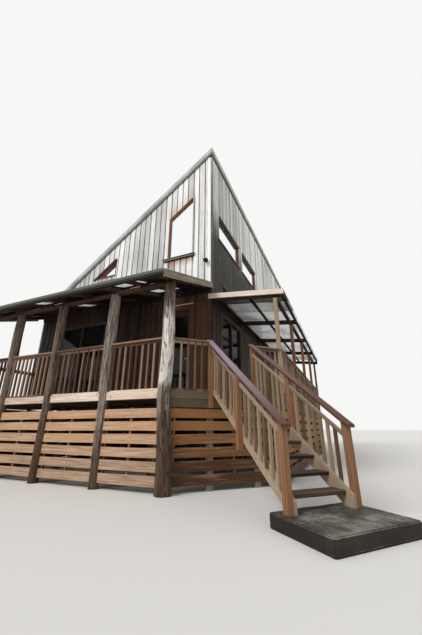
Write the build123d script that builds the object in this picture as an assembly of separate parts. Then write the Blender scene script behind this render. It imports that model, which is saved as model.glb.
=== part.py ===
from build123d import *
import os
from functools import cache
from math import cos, hypot, pi, sin, sqrt

# Millimetres, +Z up. The origin is under the front right corner of the house, on the lowest ground.
# +X runs to the right along the front wall and +Y back along the right wall.

# House body
house_width = 6500
house_depth = 11500
wall_thickness = 140
floor_level = 1800
floor_thickness = 35
opening_head = 4200
upper_floor_level = 5400
upper_floor_thickness = 200

# Single-slope main roof, highest along the right wall
roof_high_edge = 9780
roof_slope = 0.72
roof_thickness = 240
roof_overhang = 60
flashing_depth = 170
flashing_thickness = 20

# Stumps and floor frame
stump_diameter = 200
stump_inset = 50
stump_columns = 5
stump_rows = 5
bearer_width = 90
bearer_depth = 190
joist_width = 45
joist_depth = 150
joist_pitch = 575

# Verandah along the front, with the corner beside the stair cut at 45 degrees. The bays are measured from
# that corner, and one more reaches to the left end.
verandah_depth = 1870
corner_post_inset = 140
bay_widths = [1460, 1640, 1570]
post_diameter = 220
corner_post_diameter = 280
post_room = 0.3
log_sides = 16
stump_sides = 12
log_lobes = 3
lobe_share = 0.035
post_top = 3990
plate_diameter = 130
plate_overhang = 110
rim_depth = 190
rim_thickness = 60

# Verandah roof
verandah_roof_level = 4860
verandah_roof_slope = 0.338
verandah_eave = 2470
verandah_roof_end = 60
verandah_roof_overrun = 200
sheet_thickness = 12
batten_width = 70
batten_depth = 40
rafter_diameter = 96
flat_cut = 5
seat_cut = 10
fascia_thickness = 35
fascia_depth = 75
sheet_drip = 20
barge_depth = 175
barge_thickness = 40
ledger_depth = 200
ledger_thickness = 45
gutter_width = 90
gutter_depth = 60
gutter_wall = 5
gutter_drop = 25
apron_lap = 170
apron_upstand = 90
apron_thickness = 4
apron_room = 0.3
fascia_gap = 1
apron_gap = 90
batten_rows = 4

# Balustrades
rail_height = 1000
rail_width = 140
rail_thickness = 35
under_rail_depth = 60
baluster_size = 42
baluster_pitch = 145
newel_size = 90

# Slatted skirts
slat_count = 6
slat_height = 170
slat_pitch = 230
slat_thickness = 25
slat_top = 1430
cleat_size = 45

# Stair down from the cut corner
stair_width = 1004
stair_place = 1435
riser_count = 9
stair_going = 270
top_tread = 180
tread_depth = 250
tread_thickness = 45
stringer_thickness = 45
stringer_above = 30
stringer_below = 210
middle_newel_out = 1240
lower_newel_out = 2420
handrail_height = 880
handrail_overrun = 90
under_rail_drop = 175
newel_drop = 120
baluster_foot = 60

# Stone slab at the foot of the stair
slab_thickness = 165
slab_width = 1280
slab_length = 980
slab_out = 2650
slab_across = 40
slab_turn = 4

# Side deck and its lean-to roof
side_deck_length = 9200
lean_to_bays = 4
lean_to_level = 4522
lean_to_slope = 0.109
lean_to_reach = 1950
lean_to_post_size = 90
lean_to_beam_depth = 75
lean_to_rafter_depth = 140
lean_to_rafter_width = 45
lean_to_batten_depth = 45
lean_to_barge_depth = 165
lean_to_seat = 30
lean_to_lap = 70
rafter_setback = 50
side_deck_edge_depth = 315
board_gap = 5
edge_gap = 1
deck_stump_share = 0.75

# Windows and doors
frame_width = 42
frame_depth = 90
frame_proud = 15
sill_projection = 45
sill_depth = 35
glass_thickness = 8
door_left = -1450
door_right = -580
door_thickness = 45
door_stile = 110
door_gap = 5
door_edge_gap = 7
door_floor_gap = 8
jamb_thickness = 40
stop_size = 15
stop_depth = 39
stop_room = 6
architrave_width = 90
architrave_thickness = 20
hinge_radius = 6
hinge_length = 100
hinge_flap = 3
hinge_slack = 0.5
hinge_inset = 200
frame_flap = 30
leaf_flap = 25
handle_height = 1000
handle_reach = 55
handle_diameter = 18
lever_length = 110
lever_thickness = 10
rose_diameter = 50
rose_thickness = 6
screen_leaves = 2
screen_left = -5540
screen_right = -3600
side_screen_front = 750
side_screen_rear = 2450

# Outlines of the windows: in (x, z) on the front and back, in (y, z) on the sides
sloped_window = [(-1460, 5930), (-550, 5930), (-550, 8100), (-1460, 7440)]
corner_window = [(-4300, 5830), (-3460, 5830), (-3460, 6440)]
right_window_spans = [(580, 2560, 6620, 7525), (2950, 4780, 6620, 7525), (750, 2550, 4720, 5160)]
left_window_spans = [(2000, 3900, 2600, 3400), (7000, 8900, 2600, 3400)]
back_window_spans = [(-2700, -800, 2700, 3900), (-5600, -3700, 2700, 3900)]

# Lamp on the front wall
lamp_x = -95
lamp_z = 5560
lamp_plate = 110
lamp_plate_thickness = 20
lamp_reach = 130
lamp_arm = 22
lamp_tilt = 40
fitting_sides = 12
shade_diameter = 165
shade_depth = 125
shade_flare = 17

# Form of the log posts from foot to top: share of the height, share of the diameter, shift to the right
corner_post_form = [(0, 1.12, 66), (0.13, 1.1, 62), (0.27, 1.02, 22), (0.41, 0.93, -20), (0.52, 0.99, 14),
                    (0.7, 0.92, 22), (1, 0.86, 0)]
thick_post_form = [(0, 0.92, -15), (0.2, 0.92, -12), (0.46, 0.95, -33), (0.57, 1.1, -30),
                   (0.67, 1.16, -30), (0.86, 1.16, -8), (0.94, 1.14, -6), (1, 0.98, -8)]
post_form = [(0, 1.02, -15), (0.25, 0.98, -15), (0.5, 0.93, -5), (0.67, 1.02, -8), (0.86, 1.04, -26),
             (1, 1.0, -22)]

side_deck_width = verandah_depth - corner_post_inset
deck_under = floor_level - floor_thickness
bearer_top = deck_under - joist_depth
stump_top = bearer_top - bearer_depth
corner_x = -corner_post_inset
stair_rise = (floor_level - slab_thickness) / riser_count
stair_pitch = stair_rise / stair_going
diagonal = sqrt(0.5)
edge_half = joist_width / 2
corner_length = verandah_depth / diagonal
rail_level = floor_level + rail_height
post_places = [corner_x - sum(bay_widths[:i]) for i in range(len(bay_widths) + 1)] + [-house_width]
deck_left = post_places[-1]
edge_foot = deck_under - side_deck_edge_depth
lean_to_pitch = (side_deck_length - lean_to_post_size / 2) / lean_to_bays
lean_to_places = [i * lean_to_pitch for i in range(lean_to_bays + 1)]

verandah_plane = Plane((0, 0, verandah_roof_level), x_dir=(1, 0, 0), z_dir=(0, -verandah_roof_slope, 1))
verandah_slant = hypot(1, verandah_roof_slope)
lean_to_plane = Plane((0, 0, lean_to_level), x_dir=(0, 1, 0), z_dir=(lean_to_slope, 0, 1))
lean_to_slant = hypot(1, lean_to_slope)


def block(x0, x1, y0, y1, z0, z1):
    """Box between two corners."""
    return Pos((x0 + x1) / 2, (y0 + y1) / 2, (z0 + z1) / 2) * Box(x1 - x0, y1 - y0, z1 - z0)


def outline(points):
    """Flat shape with straight sides."""
    return make_face(Polyline(*points, close=True))


def panel(u0, u1, v0, v1):
    """Flat rectangle between two corners."""
    return outline([(u0, v0), (u1, v0), (u1, v1), (u0, v1)])


def along_y(sketch, y0, y1):
    """Solid with a shape drawn in x and z, from y0 back to y1."""
    return extrude(Plane((0, y1, 0), x_dir=(1, 0, 0), z_dir=(0, -1, 0)) * sketch, y1 - y0)


def along_x(sketch, x0, x1):
    """Solid with a shape drawn in y and z, from x0 to x1."""
    return extrude(Plane((x0, 0, 0), x_dir=(0, 1, 0), z_dir=(1, 0, 0)) * sketch, x1 - x0)


def inset(sketch, width):
    """The same shape, smaller by a width all round."""
    return offset(sketch, -width, kind=Kind.INTERSECTION)


def ring(sketch, width):
    """The border of a shape."""
    return sketch - inset(sketch, width)


def plank(start, end, thickness, depth):
    """Board with vertical faces and plumb ends, its top edge running between two points."""
    a, b = Vector(*start), Vector(*end)
    run = Vector(b.X - a.X, b.Y - a.Y, 0).normalized()
    side = Vector(-run.Y, run.X, 0)
    down = Vector(0, 0, -depth)
    near = side * (-thickness / 2)
    face = make_face(Polyline(a + near, b + near, b + near + down, a + near + down, close=True))
    return extrude(face, amount=thickness, dir=side)


def upright(x, y, size, z0, z1, turned=0):
    """Square post."""
    return Pos(x, y, (z0 + z1) / 2) * Rot(0, 0, turned) * Box(size, size, z1 - z0)


def rod(start, end, diameter):
    """Round bar between two points."""
    a, b = Vector(*start), Vector(*end)
    return Plane(a, z_dir=b - a) * Pos(0, 0, (b - a).length / 2) * Cylinder(diameter / 2, (b - a).length)


def log(start, end, diameter, sides=log_sides):
    """Pole between two points, with the narrow flats that an adze leaves, or a bar with fewer sides."""
    a, b = Vector(*start), Vector(*end)
    return extrude(Plane(a, z_dir=b - a) * RegularPolygon(diameter / 2, sides), (b - a).length)


def join(pieces):
    """Pieces that touch become one solid, and the others stay apart."""
    return Part() + pieces


def apart(pieces):
    """Pieces of one node that don't touch each other."""
    return Compound([solid for piece in pieces for solid in piece.solids()])


def spread(length, pitch):
    """Even places between two ends, about a pitch apart, without the ends."""
    steps = max(2, round(length / pitch))
    return [length * i / steps for i in range(1, steps)]


def roof_under(x):
    """Height of the underside of the main roof."""
    return roof_high_edge - roof_thickness + roof_slope * x


def beside_stair(across, out, z):
    """Point on the line of the cut corner, measured across the stair and out from the deck."""
    along = stair_place + across
    x = corner_x + diagonal * (along + out)
    y = -verandah_depth + diagonal * (along - out)
    return Vector(x, y, z)


def nosing(out):
    """Height of the line over the front edges of the treads."""
    return floor_level - (out - edge_half - top_tread) * stair_pitch


def verandah_top(out):
    """Height of the top of the verandah sheets, a distance out from the front wall."""
    return verandah_roof_level - verandah_roof_slope * out


def verandah_left():
    """Left end of the verandah sheets."""
    return deck_left - verandah_roof_overrun


def lean_to_top(x):
    """Height of the top of the lean-to sheets."""
    return lean_to_level - lean_to_slope * x


@cache
def over_roof():
    """All that is above the underside of the main roof."""
    reach = house_width + 2 * roof_overhang
    top = roof_high_edge + roof_thickness
    points = [(-reach, roof_under(-reach)), (reach, roof_under(reach)), (reach, 3 * top), (-reach, 3 * top)]
    return along_y(outline(points), -house_depth, 2 * house_depth)


def span_panels(spans):
    """Rectangular openings."""
    return [panel(*span) for span in spans]


def stair_slab():
    centre = beside_stair(slab_across, slab_out, slab_thickness / 2)
    return Pos(centre) * Rot(0, 0, -45 + slab_turn) * Box(slab_length, slab_width, slab_thickness)


def stump_places():
    """Rows and columns of the stumps under the house."""
    across = (house_width - 2 * stump_inset) / (stump_columns - 1)
    back = (house_depth - 2 * stump_inset) / (stump_rows - 1)
    xs = [-stump_inset - i * across for i in range(stump_columns)]
    ys = [stump_inset + i * back for i in range(stump_rows)]
    return xs, ys


def house_stumps():
    xs, ys = stump_places()
    return [log((x, y, 0), (x, y, stump_top), stump_diameter, stump_sides) for x in xs for y in ys]


def house_bearers():
    xs, _ = stump_places()
    half = bearer_width / 2
    return [block(x - half, x + half, 0, house_depth, stump_top, bearer_top) for x in xs]


def house_joists():
    half = joist_width / 2
    places = [half + y for y in spread(house_depth - joist_width, joist_pitch)]
    places = [half] + places + [house_depth - half]
    return [block(-house_width, 0, y - half, y + half, bearer_top, deck_under) for y in places]


def house_floor():
    return block(-house_width, 0, 0, house_depth, deck_under, floor_level)


def upper_floor():
    """Floor of the upper storey, cut off where the roof comes down to it."""
    floor = block(wall_thickness - house_width, -wall_thickness, wall_thickness, house_depth - wall_thickness,
                  upper_floor_level - upper_floor_thickness, upper_floor_level)
    return floor - over_roof()


def front_wall_upper():
    shape = panel(-house_width, 0, opening_head, roof_high_edge)
    holes = outline(sloped_window) + outline(corner_window)
    return along_y(shape - holes, 0, wall_thickness) - over_roof()


def front_wall_lower():
    """The three lengths of wall beside the door and the glazed screen."""
    spans = [(-house_width, screen_left), (screen_right, door_left), (door_right, 0)]
    walls = [block(x0, x1, 0, wall_thickness, floor_level, opening_head) for x0, x1 in spans]
    return apart([wall - over_roof() for wall in walls])


def right_wall_upper():
    shape = panel(wall_thickness, house_depth - wall_thickness, opening_head, roof_high_edge)
    for hole in span_panels(right_window_spans):
        shape -= hole
    return along_x(shape, -wall_thickness, 0) - over_roof()


def right_wall_lower():
    """The wall on either side of the side screen."""
    spans = [(wall_thickness, side_screen_front), (side_screen_rear, house_depth - wall_thickness)]
    return apart([block(-wall_thickness, 0, y0, y1, floor_level, opening_head) for y0, y1 in spans])


def left_wall():
    shape = panel(wall_thickness, house_depth - wall_thickness, floor_level, roof_high_edge)
    for hole in span_panels(left_window_spans):
        shape -= hole
    return along_x(shape, -house_width, wall_thickness - house_width) - over_roof()


def back_wall():
    shape = panel(-house_width, 0, floor_level, roof_high_edge) - outline(sloped_window)
    for hole in span_panels(back_window_spans):
        shape -= hole
    return along_y(shape, house_depth - wall_thickness, house_depth) - over_roof()


def main_roof():
    high, low = roof_overhang, -house_width - roof_overhang
    shape = outline([(low, roof_under(low)), (high, roof_under(high)),
                     (high, roof_under(high) + roof_thickness), (low, roof_under(low) + roof_thickness)])
    return along_y(shape, -roof_overhang, house_depth + roof_overhang)


def apron(slope_top):
    """Section of a flashing that stands against a wall and laps over sheets, with the wall at 0."""
    lift = apron_room + apron_thickness
    points = [(0, slope_top(0) + apron_room), (apron_lap, slope_top(apron_lap) + apron_room),
              (apron_lap, slope_top(apron_lap) + lift), (apron_thickness, slope_top(apron_thickness) + lift),
              (apron_thickness, slope_top(0) + apron_upstand), (0, slope_top(0) + apron_upstand)]
    return outline(points)


def apron_flashings():
    """Flashings where the verandah roof and the lean-to roof meet the walls."""
    front = along_x(mirror(apron(verandah_top), Plane.YZ), -house_width, 0) - over_roof()
    side = along_y(apron(lean_to_top), 0, side_deck_length)
    return [front, side]


def roof_flashings():
    """Flashings on the edges of the main roof, and where the lower roofs meet the walls."""
    high, low = roof_overhang, -house_width - roof_overhang
    top = roof_under(high) + roof_thickness
    bottom = roof_under(low) + roof_thickness
    front = -roof_overhang - flashing_thickness / 2
    rear = house_depth + roof_overhang + flashing_thickness / 2
    rakes = [plank((low, y, bottom), (high, y, top), flashing_thickness, flashing_depth)
             for y in (front, rear)]
    edge_x = high + flashing_thickness / 2
    edge = plank((edge_x, -roof_overhang, top), (edge_x, house_depth + roof_overhang, top),
                 flashing_thickness, flashing_depth)
    return apart(rakes + [edge] + apron_flashings())


def channel(width, depth, wall):
    """Section of an open gutter, its back at 0 and its top at 0."""
    return panel(-width, 0, -depth, 0) - panel(wall - width, -wall, wall - depth, depth)


def gutters():
    """Square gutters with stop ends, along the low edge of the main roof and along the verandah."""
    back = -house_width - roof_overhang
    top = roof_under(back) + roof_thickness / 2
    section = channel(gutter_width, gutter_depth, gutter_wall)
    near, far = -roof_overhang, house_depth + roof_overhang
    cap = panel(-gutter_width, 0, -gutter_depth, 0)
    eave = [along_y(Pos(back, top) * section, near, far)]
    eave += [along_y(Pos(back, top) * cap, y, y + gutter_wall) for y in (near, far - gutter_wall)]
    low = verandah_top(verandah_eave) - sheet_thickness * verandah_slant - gutter_drop
    left, right = verandah_left() - barge_thickness, verandah_roof_end + barge_thickness
    front = [along_x(Pos(-verandah_eave, low) * section, left, right)]
    front += [along_x(Pos(-verandah_eave, low) * cap, x, x + gutter_wall)
              for x in (left, right - gutter_wall)]
    return apart([join(eave), join(front)])


def framed_window(sketch, extrude_along, face, inward):
    """Frame that lines an opening, with a sill under it. Inward is the sign of the way into the house."""
    near, far = face - inward * frame_proud, face + inward * frame_depth
    frame = extrude_along(ring(sketch, frame_width), min(near, far), max(near, far))
    box = sketch.bounding_box()
    sill = panel(box.min.X, box.max.X, box.min.Y, box.min.Y + sill_depth)
    out = face - inward * sill_projection
    return join([frame, extrude_along(sill, min(out, face), max(out, face))])


def pane(sketch, extrude_along, face, inward):
    """Sheet of glass in the middle of a frame."""
    middle, half = face + inward * frame_depth / 2, glass_thickness / 2
    return extrude_along(inset(sketch, frame_width), middle - half, middle + half)


def screen_openings(left, right, leaves):
    """The glass openings of a screen from floor to head."""
    clear = (right - left - frame_width * (leaves + 1)) / leaves
    return [panel(left + frame_width + i * (clear + frame_width), left + (i + 1) * (clear + frame_width),
                  floor_level + frame_width, opening_head - frame_width) for i in range(leaves)]


def screen(left, right, leaves, extrude_along, face, inward):
    """Fixed glazed screen with posts between its panes."""
    shape = panel(left, right, floor_level, opening_head)
    for hole in screen_openings(left, right, leaves):
        shape -= hole
    near, far = face - inward * frame_proud, face + inward * frame_depth
    return extrude_along(shape, min(near, far), max(near, far))


def screen_panes(left, right, leaves, extrude_along, face, inward):
    middle = face + inward * frame_depth / 2
    return [extrude_along(hole, middle - glass_thickness / 2, middle + glass_thickness / 2)
            for hole in screen_openings(left, right, leaves)]


def openings_by_wall():
    """Window shapes with the way they are extruded, the outer face of their wall and the way in."""
    front = [outline(sloped_window), outline(corner_window)]
    back = [outline(sloped_window)] + span_panels(back_window_spans)
    walls = [(front, along_y, 0, 1), (back, along_y, house_depth, -1),
             (span_panels(right_window_spans), along_x, 0, -1),
             (span_panels(left_window_spans), along_x, -house_width, 1)]
    return [(shape, way, face, inward) for shapes, way, face, inward in walls for shape in shapes]


def window_frames():
    return apart([framed_window(*place) for place in openings_by_wall()])


def window_glass():
    panes = [pane(*place) for place in openings_by_wall()]
    panes += screen_panes(screen_left, screen_right, screen_leaves, along_y, 0, 1)
    panes += screen_panes(side_screen_front, side_screen_rear, screen_leaves, along_x, 0, -1)
    return apart(panes)


def glazed_screens():
    return apart([screen(screen_left, screen_right, screen_leaves, along_y, 0, 1),
                  screen(side_screen_front, side_screen_rear, screen_leaves, along_x, 0, -1)])


hinge_x = door_left + jamb_thickness + door_gap / 2
hinge_y = wall_thickness + hinge_radius
leaf_left = door_left + jamb_thickness + door_gap
leaf_right = door_right - jamb_thickness - door_edge_gap
leaf_bottom = floor_level + door_floor_gap
leaf_top = opening_head - jamb_thickness - door_gap
leaf_front = wall_thickness - door_thickness
hinge_places = [leaf_bottom + hinge_inset, (leaf_bottom + leaf_top - hinge_length) / 2,
                leaf_top - hinge_inset - hinge_length]


def knuckle(z0, z1, flap_x):
    """Half of a butt hinge: a barrel on the hinge line, and its flap on the inner face."""
    barrel = rod((hinge_x, hinge_y, z0), (hinge_x, hinge_y, z1), 2 * hinge_radius)
    near, far = sorted((flap_x, hinge_x))
    flap = block(near, far, wall_thickness, wall_thickness + hinge_flap, z0, z1)
    return join([barrel, flap])


def door_frame():
    hole = panel(door_left, door_right, floor_level, opening_head)
    clear = panel(door_left + jamb_thickness, door_right - jamb_thickness,
                  floor_level, opening_head - jamb_thickness)
    lining = hole - clear
    reveal = jamb_thickness + stop_size
    stop = hole - panel(door_left + reveal, door_right - reveal, floor_level, opening_head - reveal)
    cover = panel(door_left - architrave_width, door_right + architrave_width,
                  floor_level, opening_head + architrave_width)
    cover -= clear
    pieces = [along_y(lining, 0, wall_thickness),
              along_y(stop, leaf_front - stop_room - stop_depth, leaf_front - stop_room),
              along_y(cover, -architrave_thickness, 0)]
    half = hinge_length / 2
    pieces += [knuckle(z, z + half - hinge_slack / 2, hinge_x - frame_flap) for z in hinge_places]
    return join(pieces)


def door_leaf():
    shape = ring(panel(leaf_left, leaf_right, leaf_bottom, leaf_top), door_stile)
    half = hinge_length / 2
    knuckles = [knuckle(z + half + hinge_slack / 2, z + hinge_length, hinge_x + leaf_flap)
                for z in hinge_places]
    return join([along_y(shape, leaf_front, wall_thickness)] + knuckles)


def door_glass():
    middle = leaf_front + door_thickness / 2
    hole = inset(panel(leaf_left, leaf_right, leaf_bottom, leaf_top), door_stile)
    return along_y(hole, middle - glass_thickness / 2, middle + glass_thickness / 2)


def door_handles():
    """Lever handles on both faces of the leaf, each on its own rose."""
    x, z = leaf_right - door_stile / 2, floor_level + handle_height
    handles = []
    for face, way in ((leaf_front, -1), (wall_thickness, 1)):
        neck = face + way * handle_reach
        rose = log((x, face, z), (x, face + way * rose_thickness, z), rose_diameter, fitting_sides)
        stem = log((x, face, z), (x, neck, z), handle_diameter, fitting_sides)
        near, far = sorted((neck, neck - way * lever_thickness))
        lever = block(x - lever_length, x, near, far, z - handle_diameter / 2, z + handle_diameter / 2)
        handles.append(join([rose, stem, lever]))
    return apart(handles)


def log_outline(diameter):
    """Uneven section of a log, with shallow lobes."""
    points = []
    for i in range(log_sides):
        angle = 2 * pi * i / log_sides
        radius = diameter / 2 * (1 - lobe_share * (1 + cos(log_lobes * angle)))
        points.append((radius * cos(angle), radius * sin(angle)))
    return outline(points)


def log_post(x, diameter, form, room=0):
    """Log post that swells, narrows and leans as its form says, with some room round it."""
    sections = []
    for share, width, shift in form:
        section = log_outline(diameter * width + 2 * room)
        sections.append(Plane((x + shift, -verandah_depth, share * post_top)) * section)
    return loft(sections, ruled=True)


def post_shapes():
    """Place, diameter and form of each log post, from the corner to the left end. The second is thickest."""
    forms = [corner_post_form, thick_post_form] + [post_form] * (len(post_places) - 2)
    sizes = [corner_post_diameter] + [post_diameter] * (len(post_places) - 1)
    return list(zip(post_places, sizes, forms))


@cache
def post_cutters():
    """The space of the log posts, with a hair of room, for what is notched round them."""
    return join([log_post(*shape, post_room) for shape in post_shapes()])


def corner_post():
    return log_post(*post_shapes()[0])


def verandah_posts():
    return apart([log_post(*shape) for shape in post_shapes()[1:]])


def newel_places():
    """Plan points of the two newels at the head of the stair."""
    return [beside_stair(side * stair_width / 2, 0, 0) for side in (-1, 1)]


@cache
def newel_cutters():
    return join([upright(p.X, p.Y, newel_size, 0, rail_level + rail_height, 45) for p in newel_places()])


def beyond_corner():
    """All that is behind the front wall line, for what stops at the end of the cut corner."""
    reach = house_depth
    return block(-reach, reach, -edge_gap, reach, 0, reach)


def verandah_deck():
    _, front = front_rim_faces()
    edge = edge_half / diagonal
    shape = outline([(deck_left, 0), (deck_left, front), (side_deck_width + edge + front, front),
                     (side_deck_width + edge, 0)])
    deck = extrude(Pos(0, 0, deck_under) * shape, floor_thickness)
    return deck - post_cutters() - newel_cutters()


def side_deck():
    return block(0, side_deck_width + edge_half, 0, side_deck_length, deck_under, floor_level)


def front_rim_faces():
    """Outer and inner face of the rim boards along the front."""
    outer = -verandah_depth - edge_half
    return outer, outer + rim_thickness


def verandah_rims():
    """Heavy boards between the posts along the front, and one across the left end."""
    outer, inner = front_rim_faces()
    foot = floor_level - rim_depth
    boards = [block(x1, x0, outer, inner, foot, floor_level) for x0, x1 in zip(post_places, post_places[1:])]
    end = block(deck_left - rim_thickness, deck_left, -verandah_depth, 0, foot, floor_level)
    return apart([board - post_cutters() for board in boards + [end]])


def edge_board_tops():
    """Heights of the two boards that close a deck edge, and the height of each."""
    depth = (side_deck_edge_depth - board_gap) / 2
    return [deck_under, deck_under - depth - board_gap], depth


def deck_edge_boards():
    """Two boards, one above the other, under the edges of the cut corner and of the side deck."""
    boards = []
    start = beside_stair(-stair_place, 0, 0)
    tops, depth = edge_board_tops()
    for top in tops:
        corner = plank((start.X, start.Y, top), (side_deck_width, 0, top), joist_width, depth)
        side = plank((side_deck_width, 0, top), (side_deck_width, side_deck_length, top), joist_width, depth)
        boards += [corner - post_cutters() - newel_cutters() - beyond_corner(), side]
    return apart(boards)


def deck_bearers():
    """Bearers behind the edge boards, on the stumps."""
    start = beside_stair(-stair_place, -edge_half - bearer_width / 2, bearer_top)
    end = beside_stair(-stair_place + corner_length, -edge_half - bearer_width / 2, bearer_top)
    corner = plank(start, end, bearer_width, bearer_top - edge_foot)
    inner = side_deck_width - edge_half - bearer_width
    side = block(inner, inner + bearer_width, 0, side_deck_length, edge_foot, bearer_top)
    return [corner - post_cutters() - newel_cutters() - beyond_corner(), side]


def deck_stumps():
    """Stumps under the bearers of the cut corner and the side deck, with a flat sawn on the outer face."""
    diameter = stump_diameter * deck_stump_share
    back = edge_half + bearer_width / 2
    stumps = []
    for side in (-1, 1):
        foot = beside_stair(side * stair_width / 2, -back, 0)
        middle = beside_stair(side * stair_width / 2, diameter - edge_half, edge_foot / 2)
        cut = Pos(middle) * Rot(0, 0, 45) * Box(2 * diameter, 2 * diameter, 2 * edge_foot)
        stumps.append(log(foot, foot + Vector(0, 0, edge_foot), diameter, stump_sides) - cut)
    for y in lean_to_places:
        x = side_deck_width - back
        y = min(max(y, diameter / 2), side_deck_length - diameter / 2)
        face = side_deck_width - edge_half
        cut = block(face, face + diameter, y - diameter, y + diameter, 0, edge_foot)
        stumps.append(log((x, y, 0), (x, y, edge_foot), diameter, stump_sides) - cut)
    return stumps


def deck_joists():
    """Joists under the verandah and the side deck, and those of the cut corner on their trimmer."""
    _, inner = front_rim_faces()
    half = joist_width / 2
    start = deck_left + half
    joists = [block(x - half, x + half, inner, -ledger_thickness, bearer_top, deck_under) - post_cutters()
              for x in [start] + [start + x for x in spread(corner_x - start, joist_pitch)]]
    far = side_deck_width - edge_half
    joists += [block(ledger_thickness, far, y - half, y + half, bearer_top, deck_under)
               for y in spread(side_deck_length, joist_pitch) + [side_deck_length - half]]
    back = edge_half / diagonal
    corner = [block(edge_gap, side_deck_width - ledger_thickness - back, -ledger_thickness, 0,
                    bearer_top, deck_under)]
    for x in [corner_x + s for s in spread(side_deck_width - corner_x - joist_pitch / 2, joist_pitch)]:
        end = x + half - side_deck_width + back
        corner.append(block(x - half, x + half, end, -ledger_thickness, bearer_top, deck_under))
    return joists + [join(corner) - newel_cutters()]


def rafter_layers():
    """Thickness of what lies over the rafters of the verandah roof."""
    return sheet_thickness + batten_depth


def rafter_seat():
    """Height of the flat on which the rafters rest on the plate."""
    drop = (rafter_layers() + rafter_diameter - flat_cut) * verandah_slant
    return verandah_top(verandah_depth) - drop + seat_cut


def plate_log():
    """Log along the post tops, flattened on top and notched over each post."""
    centre = rafter_seat() + flat_cut - plate_diameter / 2
    pole = log((deck_left - plate_overhang, -verandah_depth, centre),
               (corner_x + plate_overhang, -verandah_depth, centre), plate_diameter)
    front, back = -verandah_depth - plate_diameter, -verandah_depth + plate_diameter
    top = block(deck_left - 2 * plate_overhang, 2 * plate_overhang, front, back,
                rafter_seat(), rafter_seat() + plate_diameter)
    notches = []
    for x, size, form in post_shapes():
        middle, reach = x + form[-1][2], size / 2 + 2 * post_room
        notches.append(block(middle - reach, middle + reach, front, back, 0, post_top))
    return pole - top - join(notches)


def on_verandah_roof(x0, x1, down0, down1, under0, under1):
    """Block in the plane of the verandah roof, measured down its slope and below its top face."""
    return verandah_plane * block(x0, x1, -down1, -down0, -under1, -under0)


def verandah_rafters():
    """Peeled poles over the posts and mid-bays, flattened under the battens and on the plate."""
    drop = rafter_layers() + rafter_diameter / 2 - flat_cut
    length = (verandah_eave - fascia_thickness) * verandah_slant
    reach = 2 * rafter_diameter
    poles = []
    for x in post_places + [(x0 + x1) / 2 for x0, x1 in zip(post_places, post_places[1:])]:
        pole = verandah_plane * log((x, -length - reach, -drop), (x, reach, -drop), rafter_diameter)
        left, right, high = x - reach, x + reach, 2 * verandah_roof_level
        pole -= on_verandah_roof(left, right, -2 * reach, length + 2 * reach, -reach, rafter_layers())
        pole -= block(left, right, -ledger_thickness, 2 * reach, 0, high)
        pole -= block(left, right, -2 * verandah_eave, fascia_thickness - verandah_eave, 0, high)
        pole -= block(left, right, -verandah_depth - plate_diameter, plate_diameter - verandah_depth,
                      0, rafter_seat())
        poles.append(pole)
    return apart(poles)


def verandah_battens():
    first = apron_gap * verandah_slant
    step = (verandah_eave * verandah_slant - first - batten_width) / (batten_rows - 1)
    places = [first + i * step for i in range(batten_rows)]
    return [on_verandah_roof(verandah_left(), verandah_roof_end, s, s + batten_width,
                             sheet_thickness, rafter_layers()) for s in places]


def verandah_roof():
    length = (verandah_eave + sheet_drip) * verandah_slant
    return on_verandah_roof(verandah_left(), verandah_roof_end, apron_gap * verandah_slant, length,
                            0, sheet_thickness)


def verandah_fascia():
    """Board across the rafter ends that carries the gutter."""
    top = verandah_top(verandah_eave) - rafter_layers() * verandah_slant - fascia_gap
    return block(verandah_left(), verandah_roof_end, -verandah_eave, fascia_thickness - verandah_eave,
                 top - fascia_depth, top)


def barge_boards():
    """Sloping boards that close the ends of the verandah roof and the front end of the lean-to roof."""
    boards = []
    for x in (verandah_left() - barge_thickness / 2, verandah_roof_end + barge_thickness / 2):
        ends = [(x, -out, verandah_top(out)) for out in (verandah_eave, apron_gap)]
        boards.append(plank(ends[0], ends[1], barge_thickness, barge_depth))
    y = -joist_width / 2
    ends = [(x, y, lean_to_top(x)) for x in (-lean_to_lap, lean_to_reach)]
    boards.append(plank(ends[0], ends[1], joist_width, lean_to_barge_depth))
    return apart(boards)


def wall_ledgers():
    """Boards bolted to the house: under the decks, under the verandah roof and under the lean-to."""
    half = ledger_thickness
    deck_front = block(-house_width, 0, -half, 0, bearer_top, deck_under)
    deck_side = block(0, half, edge_gap, side_deck_length, bearer_top, deck_under)
    top = verandah_top(half) - rafter_layers() * verandah_slant
    front = block(-house_width, 0, -half, 0, top - ledger_depth, top)
    top = lean_to_top(half) - lean_to_layers() * lean_to_slant
    side = block(0, half, 0, side_deck_length, top - lean_to_rafter_depth, top)
    return apart([deck_front, deck_side, front, side])


def turn_of(run):
    """Turn of a level direction about the vertical, in degrees."""
    return Vector(1, 0, 0).get_signed_angle(run, Vector(0, 0, 1))


def balustrade(start, end):
    """Level rail panel between two plan points: a flat rail, an under-rail and square balusters."""
    a, b = Vector(start[0], start[1], rail_level), Vector(end[0], end[1], rail_level)
    run = (b - a).normalized()
    under = Vector(0, 0, -rail_thickness)
    pieces = [plank(a, b, rail_width, rail_thickness),
              plank(a + under, b + under, baluster_size, under_rail_depth)]
    for s in spread((b - a).length, baluster_pitch):
        p = a + run * s
        top = rail_level - rail_thickness
        pieces.append(upright(p.X, p.Y, baluster_size, floor_level, top, turn_of(run)))
    return join(pieces)


def front_balustrade():
    y = -verandah_depth
    panels = [balustrade((x1, y), (x0, y)) for x0, x1 in zip(post_places, post_places[1:])]
    end = balustrade((deck_left, y), (deck_left, 0))
    return apart([item - post_cutters() for item in panels + [end]])


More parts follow.
